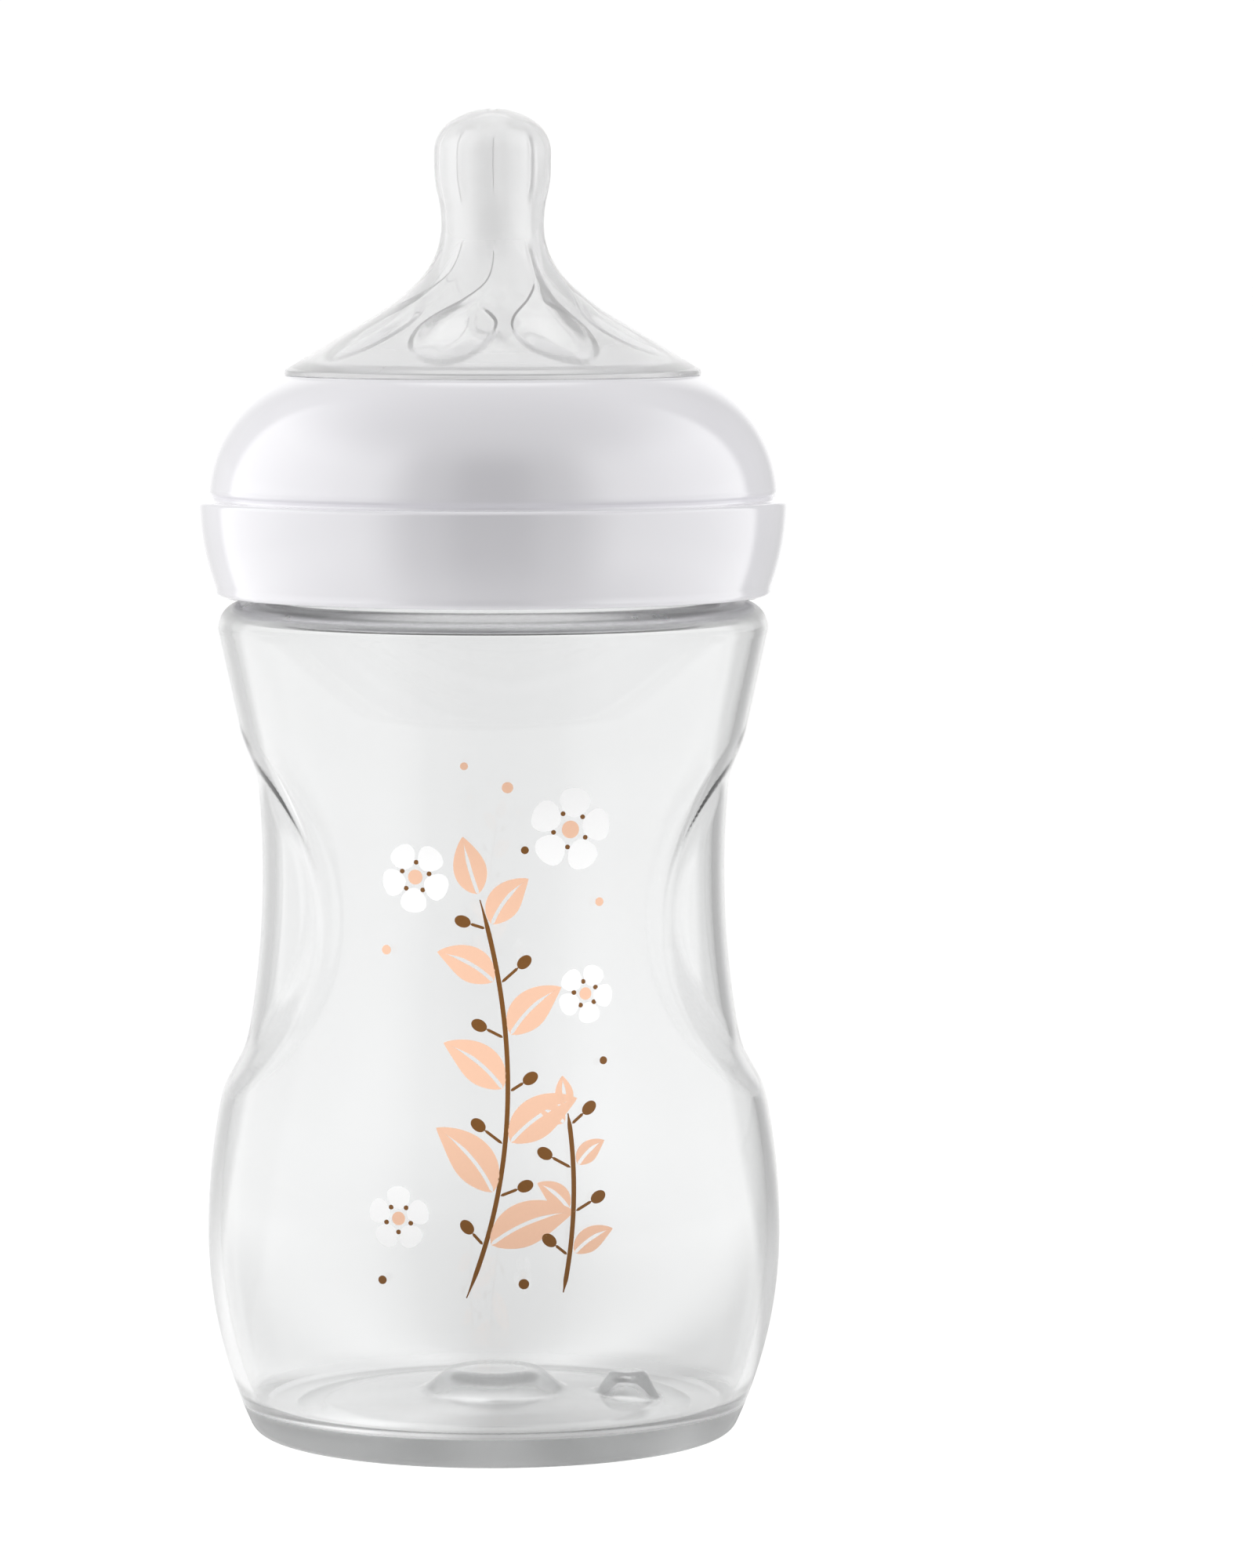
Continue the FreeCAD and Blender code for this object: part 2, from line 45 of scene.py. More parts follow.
def smooth_step(low, high, value):
    """0 below low, 1 above high, an even S-curve between them."""
    share = min(max((value - low) / (high - low), 0.0), 1.0)
    return share * share * (3 - 2 * share)


def soft_min(a, b, width):
    """The lower of two numbers, rounded off where they differ by less than width."""
    share = max(width - abs(a - b), 0.0) / width
    return min(a, b) - share * share * width / 4


def soft_max(a, b, width):
    return -soft_min(-a, -b, width)


def span(first, last, count):
    """Evenly spaced numbers, both ends included."""
    return [first + (last - first) * index / (count - 1) for index in range(count)]


def fall(radius, distance):
    """How far an arc falls away from its tangent at this distance along it."""
    return radius - math.sqrt(max(radius * radius - distance * distance, 0.0))


def between(table, value):
    """Reads a smooth curve through (value, result) pairs, with level ends."""
    if value <= table[0][0]:
        return table[0][1]
    for index in range(len(table) - 1):
        (x0, y0), (x1, y1) = table[index], table[index + 1]
        if value > x1:
            continue
        step = x1 - x0
        slope = (y1 - y0) / step
        before, after = slope, slope
        if index > 0:
            before = (y1 - table[index - 1][1]) / (x1 - table[index - 1][0])
        if index + 2 < len(table):
            after = (table[index + 2][1] - y0) / (table[index + 2][0] - x0)
        t = (value - x0) / step
        rise = y1 - y0
        square = 3 * rise - step * (2 * before + after)
        cube = step * (before + after) - 2 * rise
        return y0 + t * (before * step + t * (square + t * cube))
    return table[-1][1]


# Mesh making


def swung(arm, angle):
    """A flat vector turned to the left by an angle."""
    cosine, sine = math.cos(angle), math.sin(angle)
    return Vector((arm.x * cosine - arm.y * sine, arm.x * sine + arm.y * cosine))


def rounded_line(corners):
    """A polyline through (r, z, rounding radius) corners, each corner replaced by an arc of its radius."""
    line = []
    count = len(corners)
    for index, (r, z, radius) in enumerate(corners):
        here = Vector((r, z))
        if radius == 0 or index in (0, count - 1):
            line.append((r, z))
            continue
        before = Vector(corners[index - 1][:2]) - here
        after = Vector(corners[index + 1][:2]) - here
        turn = math.pi - before.angle(after)
        if turn < 0.02:
            line.append((r, z))
            continue
        reach = radius * math.tan(turn / 2)
        middle = (before.normalized() + after.normalized()).normalized()
        centre = here + middle * (radius / math.cos(turn / 2))
        first = here + before.normalized() * reach - centre
        last = here + after.normalized() * reach - centre
        sweep = math.atan2(first.x * last.y - first.y * last.x, first.dot(last))
        steps = max(3, math.ceil(abs(sweep) / 0.2))
        for step in range(steps + 1):
            line.append(tuple(centre + swung(first, sweep * step / steps)))
    return line


def arc_line(start, end, radius, side, step=0.5):
    """Points of the shorter arc from start to end; side is 1 where its centre lies to the left of travel."""
    first, last = Vector(start), Vector(end)
    chord = last - first
    across = Vector((-chord.y, chord.x)).normalized() * side
    centre = (first + last) / 2 + across * math.sqrt(max(radius**2 - chord.length_squared / 4, 0.0))
    a, b = first - centre, last - centre
    sweep = math.atan2(a.x * b.y - a.y * b.x, a.dot(b))
    count = max(4, math.ceil(abs(sweep) * radius / step))
    return [tuple(centre + swung(a, sweep * index / count)) for index in range(count + 1)]


def even_line(points, step):
    """The same polyline with no stretch longer than step."""
    line = [points[0]]
    for last in points[1:]:
        first = line[-1]
        length = math.dist(first, last)
        if length < NO_LENGTH:
            continue
        pieces = max(1, math.ceil(length / step))
        for index in range(1, pieces + 1):
            share = index / pieces
            line.append((first[0] + (last[0] - first[0]) * share, first[1] + (last[1] - first[1]) * share))
    return line


def new_piece(name, points, faces, materials, body, smooth=True):
    """A mesh object, given in millimetres, that rides on a body and takes a slot's finish."""
    mesh = bpy.data.meshes.new(name)
    mesh.from_pydata([(x * MM, y * MM, z * MM) for x, y, z in points], [], faces)
    for material in materials:
        mesh.materials.append(material)
    for polygon in mesh.polygons:
        polygon.use_smooth = smooth
    mesh.validate()
    mesh.update()
    piece = bpy.data.objects.new(name, mesh)
    bpy.context.scene.collection.objects.link(piece)
    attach(piece, body)
    return piece


def turned(line, columns, closed, shift=None):
    """The points and faces of a line of (r, z) turned around Z. shift(index, bearing, r, z) may move each
    point. An open line whose end lies on the axis is closed by a fan there. Bearing 0 is the front, and it
    grows towards +X.
    """
    points, rings = [], []
    for index, (r, z) in enumerate(line):
        if r < NO_LENGTH:
            rings.append([len(points)])
            points.append((0.0, 0.0, z))
            continue
        ring = []
        for column in range(columns):
            bearing = 2 * math.pi * column / columns
            place = (r, z) if shift is None else shift(index, bearing, r, z)
            ring.append(len(points))
            points.append((place[0] * math.sin(bearing), -place[0] * math.cos(bearing), place[1]))
        rings.append(ring)
    faces = []
    pairs = len(rings) if closed else len(rings) - 1
    for index in range(pairs):
        low, high = rings[index], rings[(index + 1) % len(rings)]
        for column in range(columns):
            following = (column + 1) % columns
            if len(low) == 1:
                faces.append((low[0], high[following], high[column]))
            elif len(high) == 1:
                faces.append((low[column], low[following], high[0]))
            else:
                faces.append((low[column], low[following], high[following], high[column]))
    return points, faces


def set_haze(piece, line, columns, haze_of):
    """Writes the haze of each row of a turned piece, haze_of(index, r, z), onto the row's points."""
    values = []
    for index, (r, z) in enumerate(line):
        values.extend([haze_of(index, r, z)] * (1 if r < NO_LENGTH else columns))
    piece.data.attributes.new("haze", "FLOAT", "POINT").data.foreach_set("value", values)


# Materials


def new_material(name):
    material = bpy.data.materials.new(name)
    material.use_nodes = True
    nodes = material.node_tree.nodes
    return material, nodes, material.node_tree.links, nodes["Principled BSDF"]


class Sums:
    """Adds arithmetic nodes to a node tree."""

    def __init__(self, tree):
        self.nodes, self.links = tree.nodes, tree.links

    def math(self, operation, first, second=0.0):
        node = self.nodes.new("ShaderNodeMath")
        node.operation = operation
        for socket, value in zip(node.inputs, (first, second)):
            if isinstance(value, (int, float)):
                socket.default_value = value
            else:
                self.links.new(value, socket)
        return node.outputs[0]

    def ease(self, value, low, high, start, end):
        """Goes from start to end in an S-curve while value goes from low to high."""
        node = self.nodes.new("ShaderNodeMapRange")
        node.interpolation_type = "SMOOTHSTEP"
        for name, number in zip(("From Min", "From Max", "To Min", "To Max"), (low, high, start, end)):
            node.inputs[name].default_value = number
        self.links.new(value, node.inputs["Value"])
        return node.outputs["Result"]


def object_noise(nodes, links, scale, detail=2.0, stretch=(1, 1, 1)):
    """A noise in the object's own coordinates, in features per metre."""
    place = nodes.new("ShaderNodeTexCoord")
    mapping = nodes.new("ShaderNodeMapping")
    mapping.inputs["Scale"].default_value = stretch
    links.new(place.outputs["Object"], mapping.inputs["Vector"])
    noise = nodes.new("ShaderNodeTexNoise")
    noise.inputs["Scale"].default_value = scale
    noise.inputs["Detail"].default_value = detail
    links.new(mapping.outputs["Vector"], noise.inputs["Vector"])
    return noise.outputs["Fac"]


def spread(nodes, links, source, low, high):
    """Maps a noise onto a range of values."""
    ramp = nodes.new("ShaderNodeMapRange")
    ramp.inputs["From Min"].default_value = 0.3
    ramp.inputs["From Max"].default_value = 0.7
    ramp.inputs["To Min"].default_value = low
    ramp.inputs["To Max"].default_value = high
    links.new(source, ramp.inputs["Value"])
    return ramp.outputs["Result"]


def tinted(nodes, links, source, first, last):
    """Mixes two colours by a noise."""
    mix = nodes.new("ShaderNodeMix")
    mix.data_type = "RGBA"
    links.new(source, mix.inputs["Factor"])
    for socket in mix.inputs:
        if socket.type == "RGBA":
            socket.default_value = (*(first if socket.name == "A" else last), 1)
    return next(socket for socket in mix.outputs if socket.type == "RGBA")


def bumped(nodes, links, shader, source, depth):
    """Raises the surface by a noise, by up to depth metres."""
    bump = nodes.new("ShaderNodeBump")
    bump.inputs["Strength"].default_value = 1.0
    bump.inputs["Distance"].default_value = depth
    links.new(source, bump.inputs["Height"])
    links.new(bump.outputs["Normal"], shader.inputs["Normal"])


def absorbing(nodes, links, colour, density):
    """Darkens light by the length of its way through the material; density is per metre."""
    volume = nodes.new("ShaderNodeVolumeAbsorption")
    volume.inputs["Color"].default_value = (*colour, 1)
    volume.inputs["Density"].default_value = density
    links.new(volume.outputs["Volume"], nodes["Material Output"].inputs["Volume"])


CLEAR_TINT = (0.909, 0.912, 0.912)
HAZY_TINT = (0.957, 0.96, 0.96)


def clear_plastic():
    """Blown clear plastic: faintly wavy, a little mottled in its gloss, and stippled where it has haze."""
    material, nodes, links, shader = new_material("clear_plastic")
    sums = Sums(material.node_tree)
    haze = nodes.new("ShaderNodeAttribute")
    haze.attribute_name = "haze"
    links.new(tinted(nodes, links, haze.outputs["Fac"], CLEAR_TINT, HAZY_TINT), shader.inputs["Base Color"])
    shader.inputs["Transmission Weight"].default_value = 1.0
    absorbing(nodes, links, (0.5, 0.51, 0.51), 26)
    shader.inputs["IOR"].default_value = 1.49
    gloss = spread(nodes, links, object_noise(nodes, links, 260, 3), 0.012, 0.035)
    stipple = sums.math("MULTIPLY", haze.outputs["Fac"], 0.4)
    links.new(sums.math("ADD", gloss, stipple), shader.inputs["Roughness"])
    waves = object_noise(nodes, links, 45, 1, (1, 1, 0.35))
    bumped(nodes, links, shader, waves, 0.000008)
    return material


def white_plastic():
    """Moulded glossy plastic, a cool white, with a faint satin grain."""
    material, nodes, links, shader = new_material("white_plastic")
    patches = object_noise(nodes, links, 60, 3)
    colour = tinted(nodes, links, patches, (0.855, 0.845, 0.885), (0.875, 0.866, 0.903))
    links.new(colour, shader.inputs["Base Color"])
    shader.inputs["IOR"].default_value = 1.5
    shader.inputs["Coat Weight"].default_value = 1.0
    shader.inputs["Coat Roughness"].default_value = 0.06
    shader.inputs["Coat IOR"].default_value = 1.8
    grain = object_noise(nodes, links, 2400, 2)
    links.new(spread(nodes, links, patches, 0.09, 0.15), shader.inputs["Roughness"])
    bumped(nodes, links, shader, grain, 0.000004)
    return material


def silicone():
    """Soft translucent rubber, a little milky, with faint clouds in it. The nipple and the thick foot are
    hazier than the cone between them.
    """
    material, nodes, links, shader = new_material("silicone")
    sums = Sums(material.node_tree)
    split = nodes.new("ShaderNodeSeparateXYZ")
    links.new(nodes.new("ShaderNodeTexCoord").outputs["Object"], split.inputs["Vector"])
    nipple = sums.ease(split.outputs["Z"], 0.134, 0.145, 0.0, 1.0)
    foot = sums.ease(split.outputs["Z"], 0.1275, 0.131, 1.0, 0.0)
    haze = sums.math("ADD", nipple, foot)
    cloud = object_noise(nodes, links, 90, 3)
    colour = tinted(nodes, links, cloud, (0.955, 0.955, 0.956), (0.975, 0.975, 0.976))
    links.new(colour, shader.inputs["Base Color"])
    clear = sums.math("SUBTRACT", 0.84, sums.math("MULTIPLY", haze, 0.12))
    links.new(clear, shader.inputs["Transmission Weight"])
    absorbing(nodes, links, (0.5, 0.5, 0.5), 145)
    shader.inputs["IOR"].default_value = 1.41
    gloss = spread(nodes, links, cloud, 0.06, 0.10)
    links.new(sums.math("ADD", gloss, sums.math("MULTIPLY", haze, 0.05)), shader.inputs["Roughness"])
    skin = object_noise(nodes, links, 1800, 2)
    bumped(nodes, links, shader, skin, 0.000004)
    return material


def ink(name, colour, darker):
    """Screen-printed ink: nearly opaque, even, with a fine print grain."""
    material, nodes, links, shader = new_material(name)
    grain = object_noise(nodes, links, 3500, 2)
    links.new(tinted(nodes, links, grain, darker, colour), shader.inputs["Base Color"])
    links.new(spread(nodes, links, grain, 0.32, 0.48), shader.inputs["Roughness"])
    shader.inputs["Specular IOR Level"].default_value = 0.3
    bumped(nodes, links, shader, grain, 0.000006)
    return material


CLEAR = clear_plastic()
WHITE = white_plastic()
SILICONE = silicone()
PEACH_INK = ink("peach_ink", (0.89, 0.565, 0.405), (0.86, 0.54, 0.38))
BROWN_INK = ink("brown_ink", (0.200, 0.086, 0.022), (0.178, 0.075, 0.018))
WHITE_INK = ink("white_ink", (0.97, 0.97, 0.97), (0.94, 0.94, 0.94))

# Sizes shared with the solids

FOOT_RADIUS, FOOT_WIDTH, HEEL = 27.15, 3.4, 2.2
BELLY, BELLY_Z, BELLY_LOWER, BELLY_UPPER = 34.2, 24.3, 55.0, 80.0
WAIST_DEPTH, WAIST_RISE, WAIST_UPPER, TAPER = 5.55, 46.7, 61.0, 12.0
WAIST, WAIST_Z = BELLY - WAIST_DEPTH, BELLY_Z + WAIST_RISE
NECK, NECK_WALL, WALL = 27.0, 1.8, 1.5
SHOULDER, SHOULDER_RISE, CORNER = 32.7, 25.2, 3.3
NECK_HEIGHT, FLANGE_THICKNESS, CLAMP_HEIGHT = 18.2, 2.0, 6.5
RING_LIFT, BAND_HEIGHT, SLEEVE_BORE = 0.65, 11.35, 28.9
THREAD_LEAD, THREAD_TURNS = 6.4, 1.25

SHOULDER_Z = WAIST_Z + SHOULDER_RISE
SHOULDER_TOP = SHOULDER_Z + CORNER
RIM = SHOULDER_TOP + NECK_HEIGHT
FLANGE_TOP = RIM + FLANGE_THICKNESS
LIP_TOP = FLANGE_TOP + CLAMP_HEIGHT
RING_FOOT = SHOULDER_TOP + RING_LIFT
LEDGE = RING_FOOT + BAND_HEIGHT

# Bottle


def side_radius(z, inset):
    """The bottle's plain radius at this height, from the heel to the shoulder, moved inwards by inset."""
    reach = (WAIST_DEPTH**2 + WAIST_RISE**2) / (2 * WAIST_DEPTH)
    turn = WAIST_RISE * BELLY_UPPER / reach
    if z < BELLY_Z:
        return BELLY - inset - fall(BELLY_LOWER - inset, BELLY_Z - z)
    if z < BELLY_Z + turn * (BELLY_UPPER - inset) / BELLY_UPPER:
        return BELLY - inset - fall(BELLY_UPPER - inset, z - BELLY_Z)
    if z < WAIST_Z:
        return WAIST - inset + fall(reach - BELLY_UPPER + inset, WAIST_Z - z)
    upper = WAIST_UPPER + inset
    taper = TAPER * upper / WAIST_UPPER
    if z < WAIST_Z + taper:
        return WAIST - inset + fall(upper, z - WAIST_Z)
    start = WAIST - inset + fall(upper, taper)
    return start + (SHOULDER - inset - start) * (z - WAIST_Z - taper) / (SHOULDER_Z - WAIST_Z - taper)


GRIP_DEPTH, GRIP_Z, GRIP_ARC = 1.12, WAIST_Z - 3.5, 110.0
BEVEL_DEPTH, BEVEL_Z, BEVEL_RADIUS, BEVEL_ARC, BEVEL_REACH = 3.1, WAIST_Z - 6.5, 40.0, 42.0, 27.0
GRIP_EDGE = 0.42


def gripped(bearing, z, plain, inset):
    """The radius where the round bevels of the two thumb grips cut into the plain side."""
    if abs(z - BEVEL_Z) > BEVEL_REACH:
        return plain
    axis = WAIST - BEVEL_DEPTH - BEVEL_RADIUS
    bevel = BEVEL_RADIUS - inset + fall(BEVEL_ARC + inset, z - BEVEL_Z)
    across = abs(math.sin(bearing))
    along = math.cos(bearing)
    cut = axis * across + math.sqrt(max(bevel**2 - (axis * along) ** 2, 0.0))
    floor = WAIST - GRIP_DEPTH - inset + fall(GRIP_ARC + inset, z - GRIP_Z)
    pressed = soft_max(floor, soft_min(plain, cut, GRIP_EDGE), GRIP_EDGE)
    return min(plain, pressed)


NECK_RIDGE, NECK_RIDGE_WIDTH, NECK_THREAD_START = 1.35, 2.6, SHOULDER_TOP + 6.6
THREAD_RUN_IN = 0.06


def thread_ends(turn):
    """A thread's height along its turns: 1, running in from 0 at both ends."""
    return smooth_step(0, THREAD_RUN_IN, turn) * smooth_step(0, THREAD_RUN_IN, THREAD_TURNS - turn)


def neck_thread(bearing, z):
    """How much of the neck's right-handed ridge stands at this place: 1 on its crest, 0 off it."""
    best = 0.0
    angle = bearing % (2 * math.pi)
    for lap in range(math.ceil(THREAD_TURNS)):
        turn = angle / (2 * math.pi) + lap
        if turn > THREAD_TURNS:
            break
        off = abs(z - NECK_THREAD_START - THREAD_LEAD * turn)
        flank = smooth_step(NECK_RIDGE_WIDTH * 0.2, NECK_RIDGE_WIDTH * 0.5, off)
        best = max(best, thread_ends(turn) * (1 - flank))
    return best


FLOOR, FLOOR_RISE, FLOOR_FLAT, BASE = 3.8, 1.2, 20.5, 2.4
BOSS_FOOT, BOSS_TOP, BOSS_HEIGHT = 8.4, 5.6, 2.5
BOSS_TOP_Z = FLOOR + FLOOR_RISE + BOSS_HEIGHT
MARK_X, MARK_FOOT, MARK_TOP, MARK_HEIGHT = 16.0, 4.2, 2.7, 3.2
HEEL_HAZE_LOW, HEEL_HAZE_HIGH, FLOOR_HAZE, SHOULDER_HAZE = 3.2, 4.6, 0.2, 0.6
BOTTLE_COLUMNS, SIDE_STEP = 384, 0.55


def mark_rise(bearing, r, foot, top):
    """How much of the small moulding mark stands here: 1 on its top, 0 on the floor around it."""
    off = math.hypot(r * math.sin(bearing) - MARK_X, r * math.cos(bearing))
    return 1 - smooth_step(top - 0.9, foot - 0.1, off)


def bottle_rows():
    """The bottle's outline from the middle of the underside, up the outside and down the inside to the
    middle of the floor. Each row also says what it belongs to.
    """
    under = even_line(
        rounded_line(
            [
                (0, BOSS_TOP_Z - BASE, 0),
                (BOSS_TOP - BASE / 2, BOSS_TOP_Z - BASE, 2.2),
                (BOSS_FOOT - BASE / 2, FLOOR + FLOOR_RISE - BASE, 2.0),
                (FLOOR_FLAT, FLOOR - BASE, 2.0),
                (FOOT_RADIUS - FOOT_WIDTH, 0, 0.5),
                (FOOT_RADIUS, 0, 0),
            ]
        ),
        0.5,
    )
    heel_sine = (BELLY_Z - HEEL) / (BELLY_LOWER - HEEL)
    heel_end = HEEL - HEEL * heel_sine
    heel = arc_line((FOOT_RADIUS, 0), (side_radius(heel_end, 0), heel_end), HEEL, 1, 0.25)
    count = round((SHOULDER_Z - heel_end) / SIDE_STEP)
    outside = [(side_radius(z, 0), z) for z in span(heel_end, SHOULDER_Z, count)]
    corner = arc_line((SHOULDER, SHOULDER_Z), (SHOULDER - CORNER, SHOULDER_TOP), CORNER, 1, 0.25)
    neck = even_line(
        rounded_line(
            [
                (SHOULDER - CORNER, SHOULDER_TOP, 0),
                (NECK, SHOULDER_TOP, 0.4),
                (NECK, RIM, 0.5),
                (NECK - NECK_WALL, RIM, 0.5),
                (NECK - NECK_WALL, SHOULDER_TOP - WALL, 1.2),
                (SHOULDER - CORNER, SHOULDER_TOP - WALL, 0),
            ]
        ),
        0.32,
    )
    inner_corner = arc_line(
        (SHOULDER - CORNER, SHOULDER_TOP - WALL), (SHOULDER - WALL, SHOULDER_Z), CORNER - WALL, -1, 0.2
    )
    low = FLOOR + 3.2
    count = round((SHOULDER_Z - low) / SIDE_STEP)
    inside = [(side_radius(z, WALL), z) for z in span(SHOULDER_Z, low, count)]
    foot = side_radius(FLOOR, WALL)
    floor = even_line(
        rounded_line(
            [
                inside[-1] + (0,),
                (foot, FLOOR, 2.6),
                (FLOOR_FLAT, FLOOR, 4.0),
                (BOSS_FOOT, FLOOR + FLOOR_RISE, 2.0),
                (BOSS_TOP, BOSS_TOP_Z, 2.4),
                (0, BOSS_TOP_Z, 0),
            ]
        ),
        0.5,
    )
    rows = []
    for kind, line in (
        ("under", under),
        ("heel", heel[1:]),
        ("outside", outside[1:]),
        ("corner", corner[1:]),
        ("neck", neck[1:]),
        ("corner", inner_corner[1:]),
        ("inside", inside[1:]),
        ("floor", floor[1:]),
    ):
        rows.extend((kind, point) for point in line)
    return rows


def make_bottle():
    """One clear shell, with the grips, the thread and the moulding mark pressed into its rows."""
    rows = bottle_rows()
    kinds = [kind for kind, point in rows]
    line = [point for kind, point in rows]

    def shift(index, bearing, r, z):
        kind = kinds[index]
        if kind == "outside":
            return gripped(bearing, z, r, 0), z
        if kind == "inside":
            return gripped(bearing, z, r, WALL), z
        if kind == "neck" and r > NECK - 0.05:
            return r + NECK_RIDGE * neck_thread(bearing, z), z
        if kind == "under":
            return r, z + MARK_HEIGHT * mark_rise(bearing, r, MARK_FOOT - BASE / 2, MARK_TOP - BASE / 2)
        if kind == "floor":
            return r, max(z, z + (FLOOR + MARK_HEIGHT - z) * mark_rise(bearing, r, MARK_FOOT, MARK_TOP))
        return r, z

    points, faces = turned(line, BOTTLE_COLUMNS, False, shift)
    piece = new_piece("bottle_shell", points, faces, [CLEAR], "bottle")

    def haze(index, r, z):
        kind = kinds[index]
        if kind in ("under", "heel"):
            return 1.0
        if kind == "outside":
            return 1 - smooth_step(HEEL_HAZE_LOW, HEEL_HAZE_HIGH, z)
        if kind == "floor":
            return FLOOR_HAZE
        if kind == "corner":
            return SHOULDER_HAZE * smooth_step(SHOULDER_Z + 0.8, SHOULDER_TOP - 0.9, z)
        if kind == "neck":
            return SHOULDER_HAZE * (1 - smooth_step(SHOULDER_TOP, SHOULDER_TOP + 1.5, z))
        return 0.0

    set_haze(piece, line, BOTTLE_COLUMNS, haze)
    piece.visible_shadow = False
    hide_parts("bottle")


make_bottle()

# Screw ring


RING_COLUMNS = 288


def make_ring():
    """The white ring: a sleeve and a skirt with a slot between them, a flared band and a dome with a lip."""
    sleeve, skirt = 30.4, 31.7
    band_foot, band_top, dome_foot = 33.2, 35.1, 33.95
    lip_bore, lip, clamp = 23.6, 25.4, 25.6
    slot = 2.5
    band = arc_line((band_foot, RING_FOOT + 0.9), (band_top, LEDGE - 0.7), 31.0, 1)
    dome = arc_line((dome_foot, LEDGE + 1.05), (lip, LIP_TOP - 0.12), 16.8, 1)
    outer = rounded_line(
        [
            (SLEEVE_BORE + 0.7, RING_FOOT, 0),
            (sleeve, RING_FOOT, 0.25),
            (sleeve, RING_FOOT + slot, 0.4),
            (skirt, RING_FOOT + slot, 0.4),
            (skirt, RING_FOOT, 0.3),
            (band_foot, RING_FOOT, 0.7),
            (*band[0], 0),
        ]
    )
    ledge = rounded_line(
        [
            (*band[-1], 0),
            (band_top + 0.02, LEDGE, 0.55),
            (dome_foot - 0.45, LEDGE, 0.25),
            (dome_foot - 0.3, LEDGE + 0.6, 0.3),
            (*dome[0], 0),
        ]
    )
    inner = rounded_line(
        [
            (*dome[-1], 0),
            (lip - 0.1, LIP_TOP, 0.2),
            (lip_bore, LIP_TOP, 0.2),
            (lip_bore, LIP_TOP - 1.6, 0.3),
            (clamp, LIP_TOP - 3.6, 0.4),
            (clamp, FLANGE_TOP, 0.3),
            (SLEEVE_BORE, FLANGE_TOP, 0.3),
            (SLEEVE_BORE, RING_FOOT, 0.3),
            (SLEEVE_BORE + 0.7, RING_FOOT, 0),
        ]
    )
    line = even_line(outer[:-1] + band[:-1] + ledge[:-1] + dome[:-1] + inner, 0.7)
    points, faces = turned(line[:-1], RING_COLUMNS, True)
    piece = new_piece("ring_shell", points, faces, [WHITE], "screw_ring")
    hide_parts("screw_ring")


def make_ring_thread():
    """The ridge inside the ring's sleeve, half a lead away from the neck's own."""
    bore, crest, width, sunk = SLEEVE_BORE, 27.55, 2.4, 0.3
    start, steps = NECK_THREAD_START - THREAD_LEAD / 2, 180
    points, faces = [], []
    for step in range(steps + 1):
        turn = THREAD_TURNS * step / steps
        bearing = 2 * math.pi * turn
        z = start + THREAD_LEAD * turn
        inner = bore - (bore - crest) * max(thread_ends(turn), 0.02)
        upper = [(bore + sunk, width / 2), (bore, width / 2), (inner + 0.1, width / 5), (inner, width / 8)]
        lower = [(r, -up) for r, up in reversed(upper)]
        section = lower[-1:] + upper + lower[:-1]
        for r, up in section:
            points.append((r * math.sin(bearing), -r * math.cos(bearing), z + up))
    size = len(section)
    for step in range(steps):
        for index in range(size):
            following = (index + 1) % size
            a, b = step * size + index, step * size + following
            faces.append((a, b, b + size, a + size))
    faces.append(tuple(range(size)))
    faces.append(tuple(reversed(range(steps * size, steps * size + size))))
    new_piece("ring_thread", points, faces, [WHITE], "screw_ring", smooth=False)


make_ring()
make_ring_thread()

# Teat

TEAT_WALL, GROOVE, COLLAR, FLANGE = 1.6, 23.3, 24.7, 28.6
CONE_ANGLE, KNEE_ANGLE, CONE_ARC, FOOT_ARC = math.radians(59), math.radians(45), 30.0, 9.4
NIPPLE_NECK, BULB_SWELL, BULB_RISE, BULB_ARC, BULB_STRAIGHT = 6.1, 0.85, 6.9, 14.0, 1.6
TIP_CORNER, TIP_DOME, FEED_HOLE = 4.5, 9.0, 0.45


